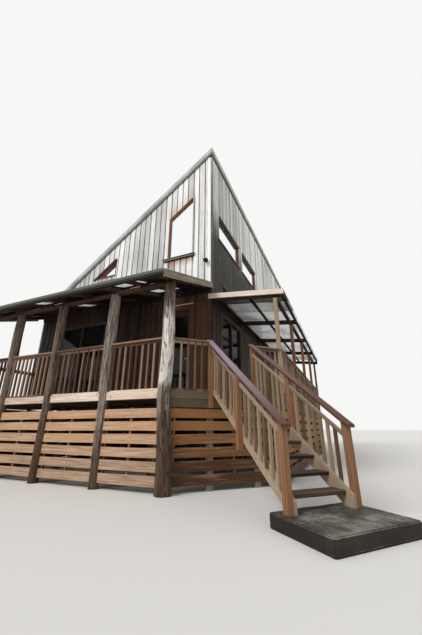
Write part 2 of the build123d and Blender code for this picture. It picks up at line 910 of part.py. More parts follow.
def corner_balustrade():
    """Panels on both sides of the head of the stair, under the handrails that start there."""
    left, right = [beside_stair(side * (stair_width + newel_size) / 2, 0, 0) for side in (-1, 1)]
    before = balustrade((corner_x, -verandah_depth), (left.X, left.Y)) - post_cutters()
    after = balustrade((right.X, right.Y), (side_deck_width, 0))
    reach = rail_width
    half = lean_to_post_size / 2
    after -= block(side_deck_width - reach, side_deck_width + reach, -half, reach, 0, 2 * rail_level)
    return apart([item - stair_handrails() for item in (before, after)])


def side_balustrade():
    half = lean_to_post_size / 2
    bays = [balustrade((side_deck_width, y0 + half), (side_deck_width, y1 - half))
            for y0, y1 in zip(lean_to_places, lean_to_places[1:])]
    y = lean_to_places[-1]
    return apart(bays + [balustrade((0, y), (side_deck_width - half, y))])


def skirt(start, end, cleats, cleat_top):
    """Slats with gaps between them, nailed to upright cleats. Their back faces are on the line given."""
    a, b = Vector(*start), Vector(*end)
    run = (b - a).normalized()
    side = Vector(-run.Y, run.X, 0)
    foot = slat_top - (slat_count - 1) * slat_pitch - slat_height
    pieces = []
    for i in range(slat_count):
        lift = Vector(0, 0, slat_top - i * slat_pitch) - side * (slat_thickness / 2)
        pieces.append(plank(a + lift, b + lift, slat_thickness, slat_height))
    for s in cleats:
        p = a + run * s + side * (cleat_size / 2)
        pieces.append(upright(p.X, p.Y, cleat_size, foot, cleat_top, turn_of(run)))
    return join(pieces)


def front_skirt():
    """Slats between the log posts, and across the left end."""
    y = -verandah_depth
    reach = post_diameter / 2 + cleat_size
    panels = [skirt((x1, y, 0), (x0, y, 0), (reach, (x0 - x1) / 2, x0 - x1 - reach), edge_foot)
              for x0, x1 in zip(post_places, post_places[1:])]
    near = stump_inset - stump_diameter / 2 - edge_gap
    end = skirt((deck_left, near, 0), (deck_left, y, 0), (cleat_size / 2, near - y - reach), edge_foot)
    return apart([item - post_cutters() for item in panels + [end]])


def corner_skirt():
    """Slats along the cut corner, running on behind the stair."""
    a = beside_stair(-stair_place, -edge_half, 0)
    b = beside_stair(corner_length - stair_place, -edge_half, 0)
    reach = corner_post_diameter / 2 + 2 * cleat_size
    cleats = (reach, stair_place, corner_length - 2 * cleat_size)
    slats = skirt((a.X, a.Y, 0), (b.X, b.Y, 0), cleats, edge_foot)
    return slats - post_cutters() - beyond_corner()


def house_skirts():
    """Slats on the stumps along the left side, the back and what the side deck leaves of the right side."""
    xs, ys = stump_places()
    face = stump_diameter / 2 - stump_inset
    left, right, rear = -house_width - face, face, house_depth + face
    start = side_deck_length + slat_thickness + edge_gap
    long_cleats = [rear - (y0 + y1) / 2 for y0, y1 in zip(ys, ys[1:])]
    short_cleats = [right + slat_thickness - (x0 + x1) / 2 for x0, x1 in zip(xs, xs[1:])]
    return [skirt((left, rear - edge_gap, 0), (left, -face, 0), long_cleats, edge_foot),
            skirt((right + slat_thickness, rear, 0), (left - slat_thickness, rear, 0), short_cleats,
                  edge_foot),
            skirt((right, start, 0), (right, rear - edge_gap, 0), [(rear - start) / 2], edge_foot)]


def side_skirt():
    """Slats under the edge of the side deck and its rear end, and those round the rest of the house."""
    x = side_deck_width - edge_half
    step = side_deck_length / lean_to_bays
    middles = [step * (i + 0.5) for i in range(lean_to_bays)]
    front = skirt((x, 0, 0), (x, side_deck_length, 0), middles, edge_foot)
    rear = skirt((x - edge_gap, side_deck_length, 0), (0, side_deck_length, 0),
                 (stump_diameter, x - cleat_size), bearer_top)
    return apart([front, rear] + house_skirts())


def stair_point(side, across, out, z):
    """Point beside the stair, mirrored to either side of its middle line."""
    return beside_stair(side * across, out, z)


def stringer_face():
    """Distance of the outer face of each stringer from the middle line of the stair."""
    return (stair_width - newel_size) / 2


def stair_stringers():
    """Closed strings, level with the deck at their head and flat on the slab at their foot."""
    across = stringer_face() - stringer_thickness / 2
    near, far = edge_half, lower_newel_out + newel_size / 2
    reach = 2 * house_depth
    kept = block(-reach, reach, -reach, reach, slab_thickness, floor_level)
    boards = []
    for side in (-1, 1):
        board = plank(stair_point(side, across, near, nosing(near) + stringer_above),
                      stair_point(side, across, far, nosing(far) + stringer_above),
                      stringer_thickness, stringer_above + stringer_below)
        boards.append(board & kept)
    return apart(boards)


def stair_treads():
    """Open treads between the stringers. The first is level with the deck."""
    inner = stringer_face() - stringer_thickness
    treads = []
    for i in range(riser_count):
        front = edge_half + top_tread + i * stair_going
        depth = tread_depth if i else top_tread
        centre = beside_stair(0, front - depth / 2, floor_level - i * stair_rise - tread_thickness / 2)
        treads.append(Pos(centre) * Rot(0, 0, -45) * Box(depth, 2 * inner, tread_thickness))
    return apart(treads)


def handrail_top(out):
    return nosing(out) + handrail_height


def stair_newels():
    """Square posts at the head, middle and foot of the stair, cut to the slope under the handrail."""
    drop = rail_thickness * hypot(1, stair_pitch)
    newels = []
    for side in (-1, 1):
        feet = [(0, edge_foot), (middle_newel_out, nosing(middle_newel_out) - stringer_below - newel_drop),
                (lower_newel_out, slab_thickness)]
        for out, foot in feet:
            centre = stair_point(side, stair_width / 2, out, 0)
            newel = upright(centre.X, centre.Y, newel_size, foot, handrail_top(out) + newel_size, 45)
            ends = [stair_point(side, stair_width / 2, at, handrail_top(at) + rail_height)
                    for at in (out - newel_size, out + newel_size)]
            newels.append(newel - plank(ends[0], ends[1], 2 * newel_size, rail_height + drop))
    return apart(newels)


def stair_handrails():
    drop = rail_thickness * hypot(1, stair_pitch)
    near, far = -rail_width / 2, lower_newel_out + handrail_overrun
    rails = []
    for side in (-1, 1):
        ends = [stair_point(side, stair_width / 2, out, handrail_top(out)) for out in (near, far)]
        rails.append(plank(ends[0], ends[1], rail_width, drop))
    return apart(rails)


def stair_balusters():
    """Under-rails with balusters that are fixed to the outer faces of the stringers."""
    half = newel_size / 2
    across = stringer_face() + baluster_size / 2
    panels = []
    for side in (-1, 1):
        for near, far in ((half, middle_newel_out - half), (middle_newel_out + half, lower_newel_out - half)):
            top = [stair_point(side, across, out, handrail_top(out) - under_rail_drop) for out in (near, far)]
            pieces = [plank(top[0], top[1], baluster_size, under_rail_depth)]
            for out in [near + s for s in spread(far - near, baluster_pitch)]:
                foot = max(nosing(out) - stringer_below + baluster_foot, slab_thickness + baluster_foot)
                head = handrail_top(out) - under_rail_drop - under_rail_depth / 2
                p = stair_point(side, across, out, 0)
                pieces.append(upright(p.X, p.Y, baluster_size, foot, head, 45))
            panels.append(join(pieces))
    return apart(panels)


def lean_to_layers():
    """Thickness of what lies over the rafters of the lean-to roof."""
    return sheet_thickness + lean_to_batten_depth


def lean_to_beam_top():
    """Height of the outer beam, which sits in notches in the rafters."""
    rafter_top = lean_to_top(side_deck_width) - lean_to_layers() * lean_to_slant
    return rafter_top - lean_to_rafter_depth + lean_to_seat


def lean_to_beam():
    half = lean_to_post_size / 2
    return block(side_deck_width - half, side_deck_width + half, 0, side_deck_length,
                 lean_to_beam_top() - lean_to_beam_depth, lean_to_beam_top())


def lean_to_posts():
    top = lean_to_beam_top() - lean_to_beam_depth
    return apart([upright(side_deck_width, y, lean_to_post_size, floor_level, top) for y in lean_to_places])


def lean_to_rafters():
    drop = lean_to_layers() * lean_to_slant
    half = lean_to_rafter_width / 2
    rafters = []
    for y in [max(y, half) for y in lean_to_places]:
        ends = [(x, y, lean_to_top(x) - drop) for x in (ledger_thickness, lean_to_reach - rafter_setback)]
        rafters.append(plank(ends[0], ends[1], lean_to_rafter_width, lean_to_rafter_depth) - lean_to_beam())
    return apart(rafters)


def on_lean_to(y0, y1, down0, down1, under0, under1):
    """Block in the plane of the lean-to roof, measured down its slope and below its top face."""
    return lean_to_plane * block(y0, y1, -down1, -down0, -under1, -under0)


def lean_to_battens():
    reach = (lean_to_reach - rafter_setback) * lean_to_slant
    return [on_lean_to(0, side_deck_length, s, s + batten_width, sheet_thickness, lean_to_layers())
            for s in (batten_width, reach / 2, reach - batten_width)]


def lean_to_roof():
    return on_lean_to(0, side_deck_length, sheet_drip, lean_to_reach * lean_to_slant, 0, sheet_thickness)


def roof_battens():
    """Battens under the sheets of the verandah roof and the lean-to roof."""
    return apart(verandah_battens() + lean_to_battens())


def stumps():
    """Short round posts under the house, the cut corner and the side deck."""
    return apart(house_stumps() + deck_stumps())


def floor_bearers():
    return apart(house_bearers() + deck_bearers())


def floor_joists():
    return apart(house_joists() + deck_joists())


def wall_lamp():
    """Small flood lamp with a flared head, tilted down on an arm from a square plate."""
    half = lamp_plate / 2
    face = -lamp_plate_thickness
    plate = block(lamp_x - half, lamp_x + half, face, 0, lamp_z - half, lamp_z + half)
    arm = log((lamp_x, face, lamp_z), (lamp_x, -lamp_reach, lamp_z), lamp_arm, fitting_sides)
    head = extrude(RegularPolygon(shade_diameter / 2, fitting_sides), shade_depth, taper=shade_flare)
    place = Pos(lamp_x, -lamp_reach, lamp_z) * Rot(-lamp_tilt, 0, 0) * Pos(0, 0, -shade_depth / 2)
    return join([plate, arm, place * head])


makers = [stair_slab, stumps, floor_bearers, floor_joists, house_floor, upper_floor, front_wall_upper,
          front_wall_lower, right_wall_upper, right_wall_lower, left_wall, back_wall, main_roof,
          roof_flashings, gutters, window_frames, window_glass, glazed_screens, door_frame, door_leaf,
          door_glass, door_handles, verandah_deck, side_deck, verandah_rims, deck_edge_boards,
          wall_ledgers, corner_post, verandah_posts,
          plate_log, verandah_rafters, roof_battens, verandah_roof, verandah_fascia, barge_boards,
          front_balustrade, corner_balustrade, side_balustrade, front_skirt, corner_skirt, side_skirt,
          stair_stringers, stair_treads, stair_newels, stair_handrails, stair_balusters, lean_to_beam,
          lean_to_posts, lean_to_rafters, lean_to_roof, wall_lamp]

os.makedirs("parts", exist_ok=True)
for maker in makers:
    export_step(maker(), f"parts/{maker.__name__}.step")
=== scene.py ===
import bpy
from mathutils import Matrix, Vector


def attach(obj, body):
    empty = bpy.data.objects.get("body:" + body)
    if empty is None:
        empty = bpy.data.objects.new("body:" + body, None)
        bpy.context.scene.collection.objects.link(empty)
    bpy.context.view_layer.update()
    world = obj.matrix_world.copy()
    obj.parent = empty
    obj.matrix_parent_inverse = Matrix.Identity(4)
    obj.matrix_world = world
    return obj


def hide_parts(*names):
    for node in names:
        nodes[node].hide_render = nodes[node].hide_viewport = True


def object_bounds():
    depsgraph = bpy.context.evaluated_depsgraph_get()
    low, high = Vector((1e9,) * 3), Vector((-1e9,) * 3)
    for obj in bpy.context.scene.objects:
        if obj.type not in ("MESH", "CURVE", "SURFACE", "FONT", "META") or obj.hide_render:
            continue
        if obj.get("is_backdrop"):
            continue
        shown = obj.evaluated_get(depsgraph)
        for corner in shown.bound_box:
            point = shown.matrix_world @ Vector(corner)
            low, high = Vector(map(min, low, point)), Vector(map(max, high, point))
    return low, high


bl_info = {
    "name": "Stilt house",
    "version": (1, 0, 0),
    "blender": (4, 5, 0),
    "location": "3D View > Sidebar > Stilt house",
    "description": "Boards, sheets, logs and finishes of a timber house on stumps",
    "category": "Add Mesh",
}

from functools import cache
from math import ceil, cos, hypot, pi, radians, sin, sqrt
from random import Random

import bmesh
import bpy
from bpy.props import FloatProperty, FloatVectorProperty, PointerProperty
from mathutils import Matrix, Vector, noise

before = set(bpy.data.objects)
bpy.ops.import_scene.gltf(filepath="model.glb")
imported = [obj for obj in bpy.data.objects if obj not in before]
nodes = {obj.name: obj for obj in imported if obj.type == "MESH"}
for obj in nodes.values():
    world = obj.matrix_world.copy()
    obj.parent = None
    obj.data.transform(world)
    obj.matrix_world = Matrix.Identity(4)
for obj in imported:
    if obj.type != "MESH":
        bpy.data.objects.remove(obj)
cad_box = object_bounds()

# All sizes are metres, in the frame of the part: the origin is under the front right corner of the house.

# House body. The roof's underside meets the right wall's face at ROOF_UNDER, and falls from there to the left.
WIDTH, DEPTH = 6.5, 11.5
FLOOR, HEAD = 1.8, 4.2
ROOF_UNDER, ROOF_SLOPE, ROOF_THICK, OVERHANG = 9.54, .72, .24, .06
# Cladding. The upper boards start over the roofs of the verandah and the lean-to, and the low ones end under them.
CORNER_BOARD, CORNER_THICK = .1, .034
FRONT_UPPER_FOOT, SIDE_UPPER_FOOT, HIDDEN_FOOT = 4.885, 4.47, 1.74
LOW_FOOT, FRONT_LOW_TOP, SIDE_LOW_TOP = FLOOR + .006, 4.585, 4.3
# Glazing. Its middle is inside the wall's face by GLASS_IN.
SCREEN_FRAME, GLASS_IN, GLASS_THICK = .04, .045, .006
# Decks: how far they reach from the walls, and the log posts from the cut corner to the verandah's left end
VERANDAH, SIDE, SIDE_LENGTH = 1.87, 1.73, 9.2
POSTS = (-.14, -1.6, -3.24, -4.81, -6.5)
POST_X, DECK_LEFT, POST_TOP = POSTS[0], POSTS[-1], 3.99
PLATE_RADIUS, RAFTER_RADIUS = .062, .045
DECK_BOARD, DECK_GAP, DECK_THICK = .091, .005, .035
RIM_DEEP, RIM_THICK = .19, .06
EDGE_DEEP, EDGE_THICK = .155, .045
HALF_EDGE = EDGE_THICK / 2
# Balustrades. RAIL is the height of the rail's top.
RAIL, RAIL_WIDE, RAIL_THICK, UNDER_RAIL = 2.8, .14, .035, .06
BALUSTER, BALUSTER_STEP, NEWEL = .042, .145, .09
# Skirts
SLATS, SLAT_TOP, SLAT_STEP = 6, 1.43, .23
SLAT_DEEP, SLAT_THICK = .17, .025
CLEAT, CLEAT_TOP = .045, 1.45
# Stair, with its middle at STAIR_PLACE along the cut corner and its parts measured out from there
STAIR_PLACE, STAIR_WIDE = 1.435, 1.004
RISERS, GOING = 9, .27
TOP_TREAD, TREAD, TREAD_THICK = .18, .25, .045
STRING, STRING_ACROSS, STRING_END = .045, .4345, 2.465
STRING_ABOVE, STRING_BELOW = .03, .21
NEWELS_OUT, HANDRAIL, UNDER_RAIL_DROP = (0, 1.24, 2.42), .88, .175
SLAB, SLAB_DEEP, SLAB_WIDE = .165, .98, 1.28
RISE = (FLOOR - SLAB) / RISERS
PITCH = RISE / GOING
# Verandah roof. SHEET_TOP is its height at the wall, where an apron covers the sheets. They are fixed SHEET_SINK
# under the top of the roof, and every other one laps over its neighbours.
SHEET_TOP, SHEET_SLOPE, EAVE, APRON = 4.86, .338, 2.47, .09
SHEET_THICK, SHEET_SINK, SHEET_LAP = .0016, .0065, .0018
CLEAR_SHEETS = ((-4.6, -3.9), (-1.61, -.85))
ROOF_LEFT, ROOF_RIGHT = DECK_LEFT - .2, .06
BARGE_DEEP, BARGE_THICK = .175, .04
FASCIA_DEEP, FASCIA_THICK = .075, .035
# Lean-to. LEAN_TOP is its height at the wall.
LEAN_TOP, LEAN_SLOPE, LEAN_REACH = 4.522, .109, 1.95
LEAN_BAYS, LEAN_POST, LEAN_POST_TOP, LEAN_BEAM = 4, .09, 4.091, .075
LEAN_RAFTER, LEAN_RAFTER_THICK, LEAN_RAFTER_DROP = .14, .045, .06877
LEAN_STEP = (SIDE_LENGTH - LEAN_POST / 2) / LEAN_BAYS
# Camera: low, off the cut corner, with its angles up and to the left in degrees
CAMERA_PLACE, CAMERA_LENS, CAMERA_UP, CAMERA_TURN = (3.0025, -6.84, 1.085), 16.94, 20.23, 23.7
# Directions. KEY_WAY is where the key light travels.
DIAGONAL = sqrt(.5)
KEY_WAY = Vector((.42, 1, -.95))
UP, RIGHT, BACK = Vector((0, 0, 1)), Vector((1, 0, 0)), Vector((0, 1, 0))
FORWARD, LEFT, CORNER_OUT = -BACK, -RIGHT, RIGHT - BACK


def linear(code):
    """Linear colour of a six-digit sRGB hex value."""
    parts = [int(code[i:i + 2], 16) / 255 for i in (0, 2, 4)]
    return [c / 12.92 if c <= .04045 else ((c + .055) / 1.055) ** 2.4 for c in parts] + [1.0]


def colour(name, description, code):
    """Colour property with a hex default."""
    return FloatVectorProperty(name=name, description=description, subtype="COLOR", size=4,
                               min=0, max=1, default=linear(code))


def size(name, description, default):
    """Length property in metres."""
    return FloatProperty(name=name, description=description, default=default, min=0, unit="LENGTH")


class CladdingSettings(bpy.types.PropertyGroup):
    board_width: size("Board width", "Width of the upright wall boards", .168)
    board_gap: size("Gap", "Shadow gap between two boards", .032)
    board_thickness: size("Thickness", "How far the boards stand out", .024)
    silver: colour("Weathered", "Boards in the sun and rain", "f5f5f4")
    silver_deep: colour("Weathered, deep", "Darker streaks of the weathered boards", "9f9e9b")
    brown: colour("Sheltered", "Boards under the verandah roof", "5c3a28")
    brown_deep: colour("Sheltered, deep", "Darker streaks of the sheltered boards", "2a1a12")


class TimberSettings(bpy.types.PropertyGroup):
    log_pale: colour("Log, pale", "Sunlit face of the logs", "ddd6cd")
    log_deep: colour("Log, deep", "Darker face of the logs", "7d6c5b")
    rail: colour("Rails", "Rails, balusters and newels", "98846a")
    slat: colour("Slats", "Slats of the skirts", "93673f")
    deck: colour("Decking", "Boards underfoot", "75655a")
    joinery: colour("Joinery", "Window frames and the door", "8f573b")


class RoofSettings(bpy.types.PropertyGroup):
    pitch: size("Corrugation", "From one ridge of a sheet to the next", .076)
    depth: size("Depth", "Depth of the corrugations", .014)
    cover: size("Sheet cover", "Width that one sheet covers", .762)
    metal: colour("Sheets", "Weathered zinc coating", "959a98")
    flashing: colour("Flashings", "Folded edge flashings", "c4c7c4")
    gutter: colour("Gutters", "Painted gutters", "55574f")


class StageSettings(bpy.types.PropertyGroup):
    sun: FloatProperty(name="Key light", description="Strength of the soft key light", default=2.1, min=0)
    sky: FloatProperty(name="Fill light", description="Strength of the even light from all round", default=.62,
                       min=0)
    floor: colour("Floor", "Plain studio floor", "dcdad6")


def add(tree, kind, inputs=None, stops=None, **settings):
    """Adds a shader node with its settings, ramp stops, and values or links for its inputs."""
    node = tree.nodes.new("ShaderNode" + kind)
    for key, value in settings.items():
        setattr(node, key, value)
    for i, (place, tint) in enumerate(stops or []):
        element = node.color_ramp.elements[i] if i < 2 else node.color_ramp.elements.new(place)
        element.position, element.color = place, tint
    for key, value in (inputs or {}).items():
        if isinstance(value, bpy.types.NodeSocket):
            tree.links.new(value, node.inputs[key])
        else:
            node.inputs[key].default_value = value
    return node


def shader(name, **sockets):
    """New material with one Principled shader, and that shader."""
    material = bpy.data.materials.new(name)
    material.use_nodes = True
    tree = material.node_tree
    tree.nodes.clear()
    surface = add(tree, "BsdfPrincipled", {key.replace("_", " "): value for key, value in sockets.items()})
    add(tree, "OutputMaterial", {"Surface": surface.outputs[0]})
    return material, tree, surface


def grey(value):
    """Linear grey."""
    return (value, value, value, 1)


def along_grain(tree, axis):
    """Coordinates with the grain along X, and a number for each board: from the boards, or by the axis of a node."""
    if axis is None:
        place = add(tree, "Attribute", attribute_name="grain").outputs["Vector"]
        return place, add(tree, "Attribute", attribute_name="tone").outputs["Fac"]
    split = add(tree, "SeparateXYZ", {0: add(tree, "TexCoord").outputs["Object"]}).outputs
    order = {"X": (0, 1, 2), "Y": (1, 2, 0), "Z": (2, 0, 1)}[axis]
    place = add(tree, "CombineXYZ", {i: split[k] for i, k in enumerate(order)}).outputs[0]
    return place, add(tree, "NewGeometry").outputs["Random Per Island"]


def timber(name, pale, deep, dark, axis=None, streak=.022, run=.7, spread=.35, silver=None, silvering=.0,
           stain_and_shade=None, cover=.85, roughness=.78, relief=.004, checks=.5, swirl=.4, cracks=0):
    """Timber: streaks along the grain, boards that differ, stains, drying checks and silvered upper faces.

    The streaks are 20 to 50 mm wide, coarser than real grain, so that they show at the picture's size. Stains and
    silver follow a value on the points for stains and painted shade: where it is high, the stain colour covers and
    the silver fades. That colour is real staining on some materials and painted shade on others, and on the rails the
    silvered upper faces are partly painted skylight."""
    material, tree, surface = shader(name, Roughness=roughness)
    surface.inputs["Specular IOR Level"].default_value = .3
    place, tone = along_grain(tree, axis)
    long = add(tree, "Mapping", {0: place, 3: (1 / run, 1 / streak, 1 / streak)}).outputs[0]
    streaks = add(tree, "TexNoise", {"Vector": long, "Scale": 1, "Detail": 6, "Roughness": .62,
                                     "Distortion": swirl}).outputs["Fac"]
    fine = add(tree, "Mapping", {0: place, 3: (4 / run, 5 / streak, 5 / streak)}).outputs[0]
    lines = add(tree, "TexNoise", {"Vector": fine, "Scale": 1, "Detail": 4, "Roughness": .7,
                                   "Distortion": swirl / 2}).outputs["Fac"]
    world = add(tree, "TexCoord").outputs["Object"]
    patches = add(tree, "TexNoise", {"Vector": world, "Scale": .9, "Detail": 3}).outputs["Fac"]
    mix = add(tree, "Math", {0: tone, 1: spread, 2: -spread / 2}, operation="MULTIPLY_ADD").outputs[0]
    mix = add(tree, "Math", {0: streaks, 1: .9, 2: mix}, operation="MULTIPLY_ADD").outputs[0]
    mix = add(tree, "Math", {0: patches, 1: .35, 2: mix}, operation="MULTIPLY_ADD").outputs[0]
    tint = add(tree, "ValToRGB", {0: mix}, stops=[(.38, deep), (.82, pale)]).outputs[0]
    # Stain colour over the streaks, by the points' value: real staining on some materials, painted shade on others.
    if stain_and_shade is not None:
        shelter = add(tree, "Attribute", attribute_name="shelter").outputs["Fac"]
        uneven = add(tree, "Math", {0: streaks, 1: 1.6, 2: shelter}, operation="MULTIPLY_ADD").outputs[0]
        amount = add(tree, "MapRange", {0: uneven, 1: .95, 2: 1.75, 3: 0, 4: cover}).outputs[0]
        tint = add(tree, "Mix", {0: amount, 6: tint, 7: stain_and_shade}, data_type="RGBA").outputs[2]
    # Silver on the upper faces: weathering, and on the rails partly painted skylight.
    if silver is not None:
        lift = add(tree, "SeparateXYZ", {0: add(tree, "NewGeometry").outputs["Normal"]}).outputs[2]
        amount = add(tree, "MapRange", {0: lift, 1: .35, 2: .9, 3: 0, 4: silvering}).outputs[0]
        if stain_and_shade is not None:
            bare = add(tree, "MapRange", {0: shelter, 1: 0, 2: 1, 3: 1, 4: 0}).outputs[0]
            amount = add(tree, "Math", {0: amount, 1: bare}, operation="MULTIPLY").outputs[0]
        tint = add(tree, "Mix", {0: amount, 6: tint, 7: silver}, data_type="RGBA").outputs[2]
    check = add(tree, "ValToRGB", {0: lines}, stops=[(.33, grey(checks)), (.44, grey(0))]).outputs[0]
    if cracks:  # open cracks that wind along a log, about 60 mm apart
        wide = add(tree, "Mapping", {0: place, 3: (1.3, 17, 17)}).outputs[0]
        waves = add(tree, "TexNoise", {"Vector": wide, "Scale": 1, "Detail": 3, "Distortion": .9}).outputs["Fac"]
        waves = add(tree, "Math", {0: waves, 1: .5}, operation="SUBTRACT").outputs[0]
        waves = add(tree, "Math", {0: waves}, operation="ABSOLUTE").outputs[0]
        crack = add(tree, "ValToRGB", {0: waves}, stops=[(.008, grey(cracks)), (.034, grey(0))]).outputs[0]
        check = add(tree, "Math", {0: check, 1: crack}, operation="MAXIMUM").outputs[0]
    tint = add(tree, "Mix", {0: check, 6: tint, 7: dark}, data_type="RGBA").outputs[2]
    tree.links.new(tint, surface.inputs["Base Color"])
    height = add(tree, "Math", {0: check, 1: -.7, 2: streaks}, operation="MULTIPLY_ADD").outputs[0]
    bump = add(tree, "Bump", {"Height": height, "Strength": .8, "Distance": relief}).outputs[0]
    tree.links.new(bump, surface.inputs["Normal"])
    return material


def settings(name):
    """One group of the user's settings."""
    return getattr(bpy.context.scene, "stilt_" + name)


@cache
def silvered_boards():
    """Rough-sawn hardwood boards, weathered silver: soft grey streaks, browner where a sill keeps the rain off."""
    s = settings("cladding")
    return timber("silvered_hardwood_boards", s.silver, s.silver_deep, linear("6d6b68"), spread=.5,
                  stain_and_shade=linear("b07a55"), relief=.003, streak=.03, run=1.1)


@cache
def shaded_boards():
    """The same boards on the side out of the sun: painted paler and greyer to make up for the missing sun, and nearly
    black under the windows.
    """
    return timber("shade_side_boards_painted_pale", linear("fdfefc"), linear("bfc0ba"), linear("5d5b55"), spread=.6,
                  stain_and_shade=linear("2b2a26"), cover=.96, relief=.003, run=1.1)


@cache
def sheltered_shaded_boards():
    """The same boards under a roof: red-brown from their oil, darkened as painted shade, most where the near-black
    colour covers them.
    """
    s = settings("cladding")
    return timber("oiled_shade_darkened_boards", s.brown, s.brown_deep, linear("22130c"), spread=.7,
                  stain_and_shade=linear("150c08"), cover=.9, roughness=.62, relief=.003)


@cache
def wall_backing():
    """Battens behind the gaps of the boards: dull grey-brown, dark in their own shade."""
    return timber("dark_backing_battens", linear("7a7773"), linear("4b4945"), linear("24211f"), axis="Z")


@cache
def debarked_log():
    """Debarked hardwood log: silver and fawn, with deep drying cracks along it and brown wet feet. The same brown is
    painted shade at the corner post's head under the gutter, along the posts under the verandah roof, and on the
    plate and rafters.
    """
    s = settings("timber")
    return timber("debarked_hardwood_log", s.log_pale, s.log_deep, linear("2a1f17"), streak=.05, run=.8,
                  spread=.7, stain_and_shade=linear("4c3320"), cover=.95, relief=.016, checks=.8, roughness=.85, swirl=1.6,
                  cracks=.85)


@cache
def rail_timber():
    """Dressed red gum that has greyed: fawn and rust streaks, silver-violet on the upper faces, partly weathering and
    partly painted skylight.
    """
    s = settings("timber")
    return timber("weathered_red_gum", s.rail, linear("5e4833"), linear("33231a"), silver=linear("a59d98"),
                  silvering=.75, spread=.75, relief=.0015, stain_and_shade=linear("9c5f39"))


@cache
def handrail_timber():
    """Handrails of the stair: red-brown, worn by hands, with a violet bloom on the upper faces where the rain reaches
    them, partly weathering and partly painted skylight.
    """
    return timber("worn_red_gum_handrail", linear("77584b"), linear("472e25"), linear("26140e"), spread=.4,
                  silver=linear("9d919c"), silvering=.9, relief=.001, stain_and_shade=linear("553428"), cover=1,
                  roughness=.55)


@cache
def string_timber():
    """Strings of the stair: grey-fawn, bleached by the rain."""
    return timber("bleached_red_gum_string", linear("a38f79"), linear("69553f"), linear("35261b"), spread=.5,
                  relief=.0015, stain_and_shade=linear("65462f"))


@cache
def shaded_rail():
    """The same red gum under the verandah roof, darkened to a dark red-brown as painted shade."""
    return timber("shade_darkened_red_gum", linear("8e7260"), linear("472d21"), linear("24150f"), spread=.75,
                  silver=linear("6c5a50"), silvering=.5, relief=.0015, stain_and_shade=linear("a5673f"))


@cache
def frame_timber(axis=None):
    """Oiled rafters and battens under the sheets, painted nearly black as the shade they stand in against the light.
    """
    name = "shade_painted_rafters" if axis is None else "shade_painted_rafters_" + axis.lower()
    return timber(name, linear("2b211a"), linear("17110d"), linear("0c0806"), axis=axis, relief=.0015)


@cache
def tread_timber():
    """Old treads: dark brown as painted shade, greyer where feet have worn them."""
    return timber("shade_darkened_stair_treads", linear("4f3f33"), linear("2c2119"), linear("150f0b"), spread=.6,
                  silver=linear("6a5b4f"), silvering=.5, relief=.0015)


@cache
def shaded_fascia():
    """Fascia in the shade of the sheets, nearly black."""
    return timber("shaded_fascia_board", linear("2b2521"), linear("15110e"), linear("0b0807"), relief=.0015)


@cache
def slat_timber():
    """Rough-sawn stringybark slats: warm tan with dark streaks, each board its own tone, and paler where the pale
    colour covers them: faded streaks, and on the front skirts painted sunlight.
    """
    s = settings("timber")
    return timber("rough_sawn_stringybark", s.slat, linear("4e331f"), linear("2a190e"), spread=1.1, relief=.002,
                  silver=linear("a8937c"), silvering=.5, stain_and_shade=linear("d3b396"))


@cache
def deck_timber():
    """Worn decking: grey-brown, paler on top."""
    s = settings("timber")
    return timber("worn_decking", s.deck, linear("4d4037"), linear("2a221c"), spread=.6, silver=linear("8d8278"),
                  silvering=.6, relief=.0015)


@cache
def pale_beam():
    """Newer sawn beam: pale peach with a few grey runs."""
    return timber("sawn_pine_beam", linear("ecd8c8"), linear("ae9079"), linear("5f4431"), spread=.3, checks=.6,
                  silver=linear("cfc5ba"), silvering=.6, relief=.0015)


@cache
def olive_board():
    """Old painted board, worn to an olive grey, browner where its darker colour covers it, which on the edge boards
    is painted shade.
    """
    return timber("worn_olive_board", linear("a99f8a"), linear("544b3a"), linear("2a241b"), spread=.3,
                  relief=.0015, checks=.65, stain_and_shade=linear("53432f"))


CEDAR = {"roughness": .5, "relief": .001, "checks": .25}
# Darker cedar for the joinery under the roofs: painted shade.
SHADED_CEDAR = [linear(code) for code in ("65402f", "38211a", "190d08")]


@cache
def joinery():
    """Oiled cedar joinery: even red-brown, slightly glossy."""
    return timber("oiled_cedar", settings("timber").joinery, linear("4e2a1d"), linear("24120b"), axis="Z", **CEDAR)


@cache
def shaded_joinery():
    """The same cedar under the roofs, darkened as painted shade."""
    return timber("shade_darkened_oiled_cedar", *SHADED_CEDAR, axis="Z", **CEDAR)


@cache
def joinery_boards():
    """The same shade-darkened cedar on the trims, along each piece."""
    return timber("shade_darkened_cedar_trim", *SHADED_CEDAR, spread=.6, **CEDAR)


def under_timber(axis):
    """Sawn hardwood under the floor: dull brown, never in the sun."""
    return timber("sawn_hardwood_" + axis.lower(), linear("84705b"), linear("54463a"), linear("2c241d"), axis=axis)


@cache
def stump_timber():
    """Round durable stumps, grey."""
    return timber("round_hardwood_stump", linear("8b7f70"), linear("564b40"), linear("2b251f"), axis="Z",
                  streak=.03, relief=.008, checks=.8)


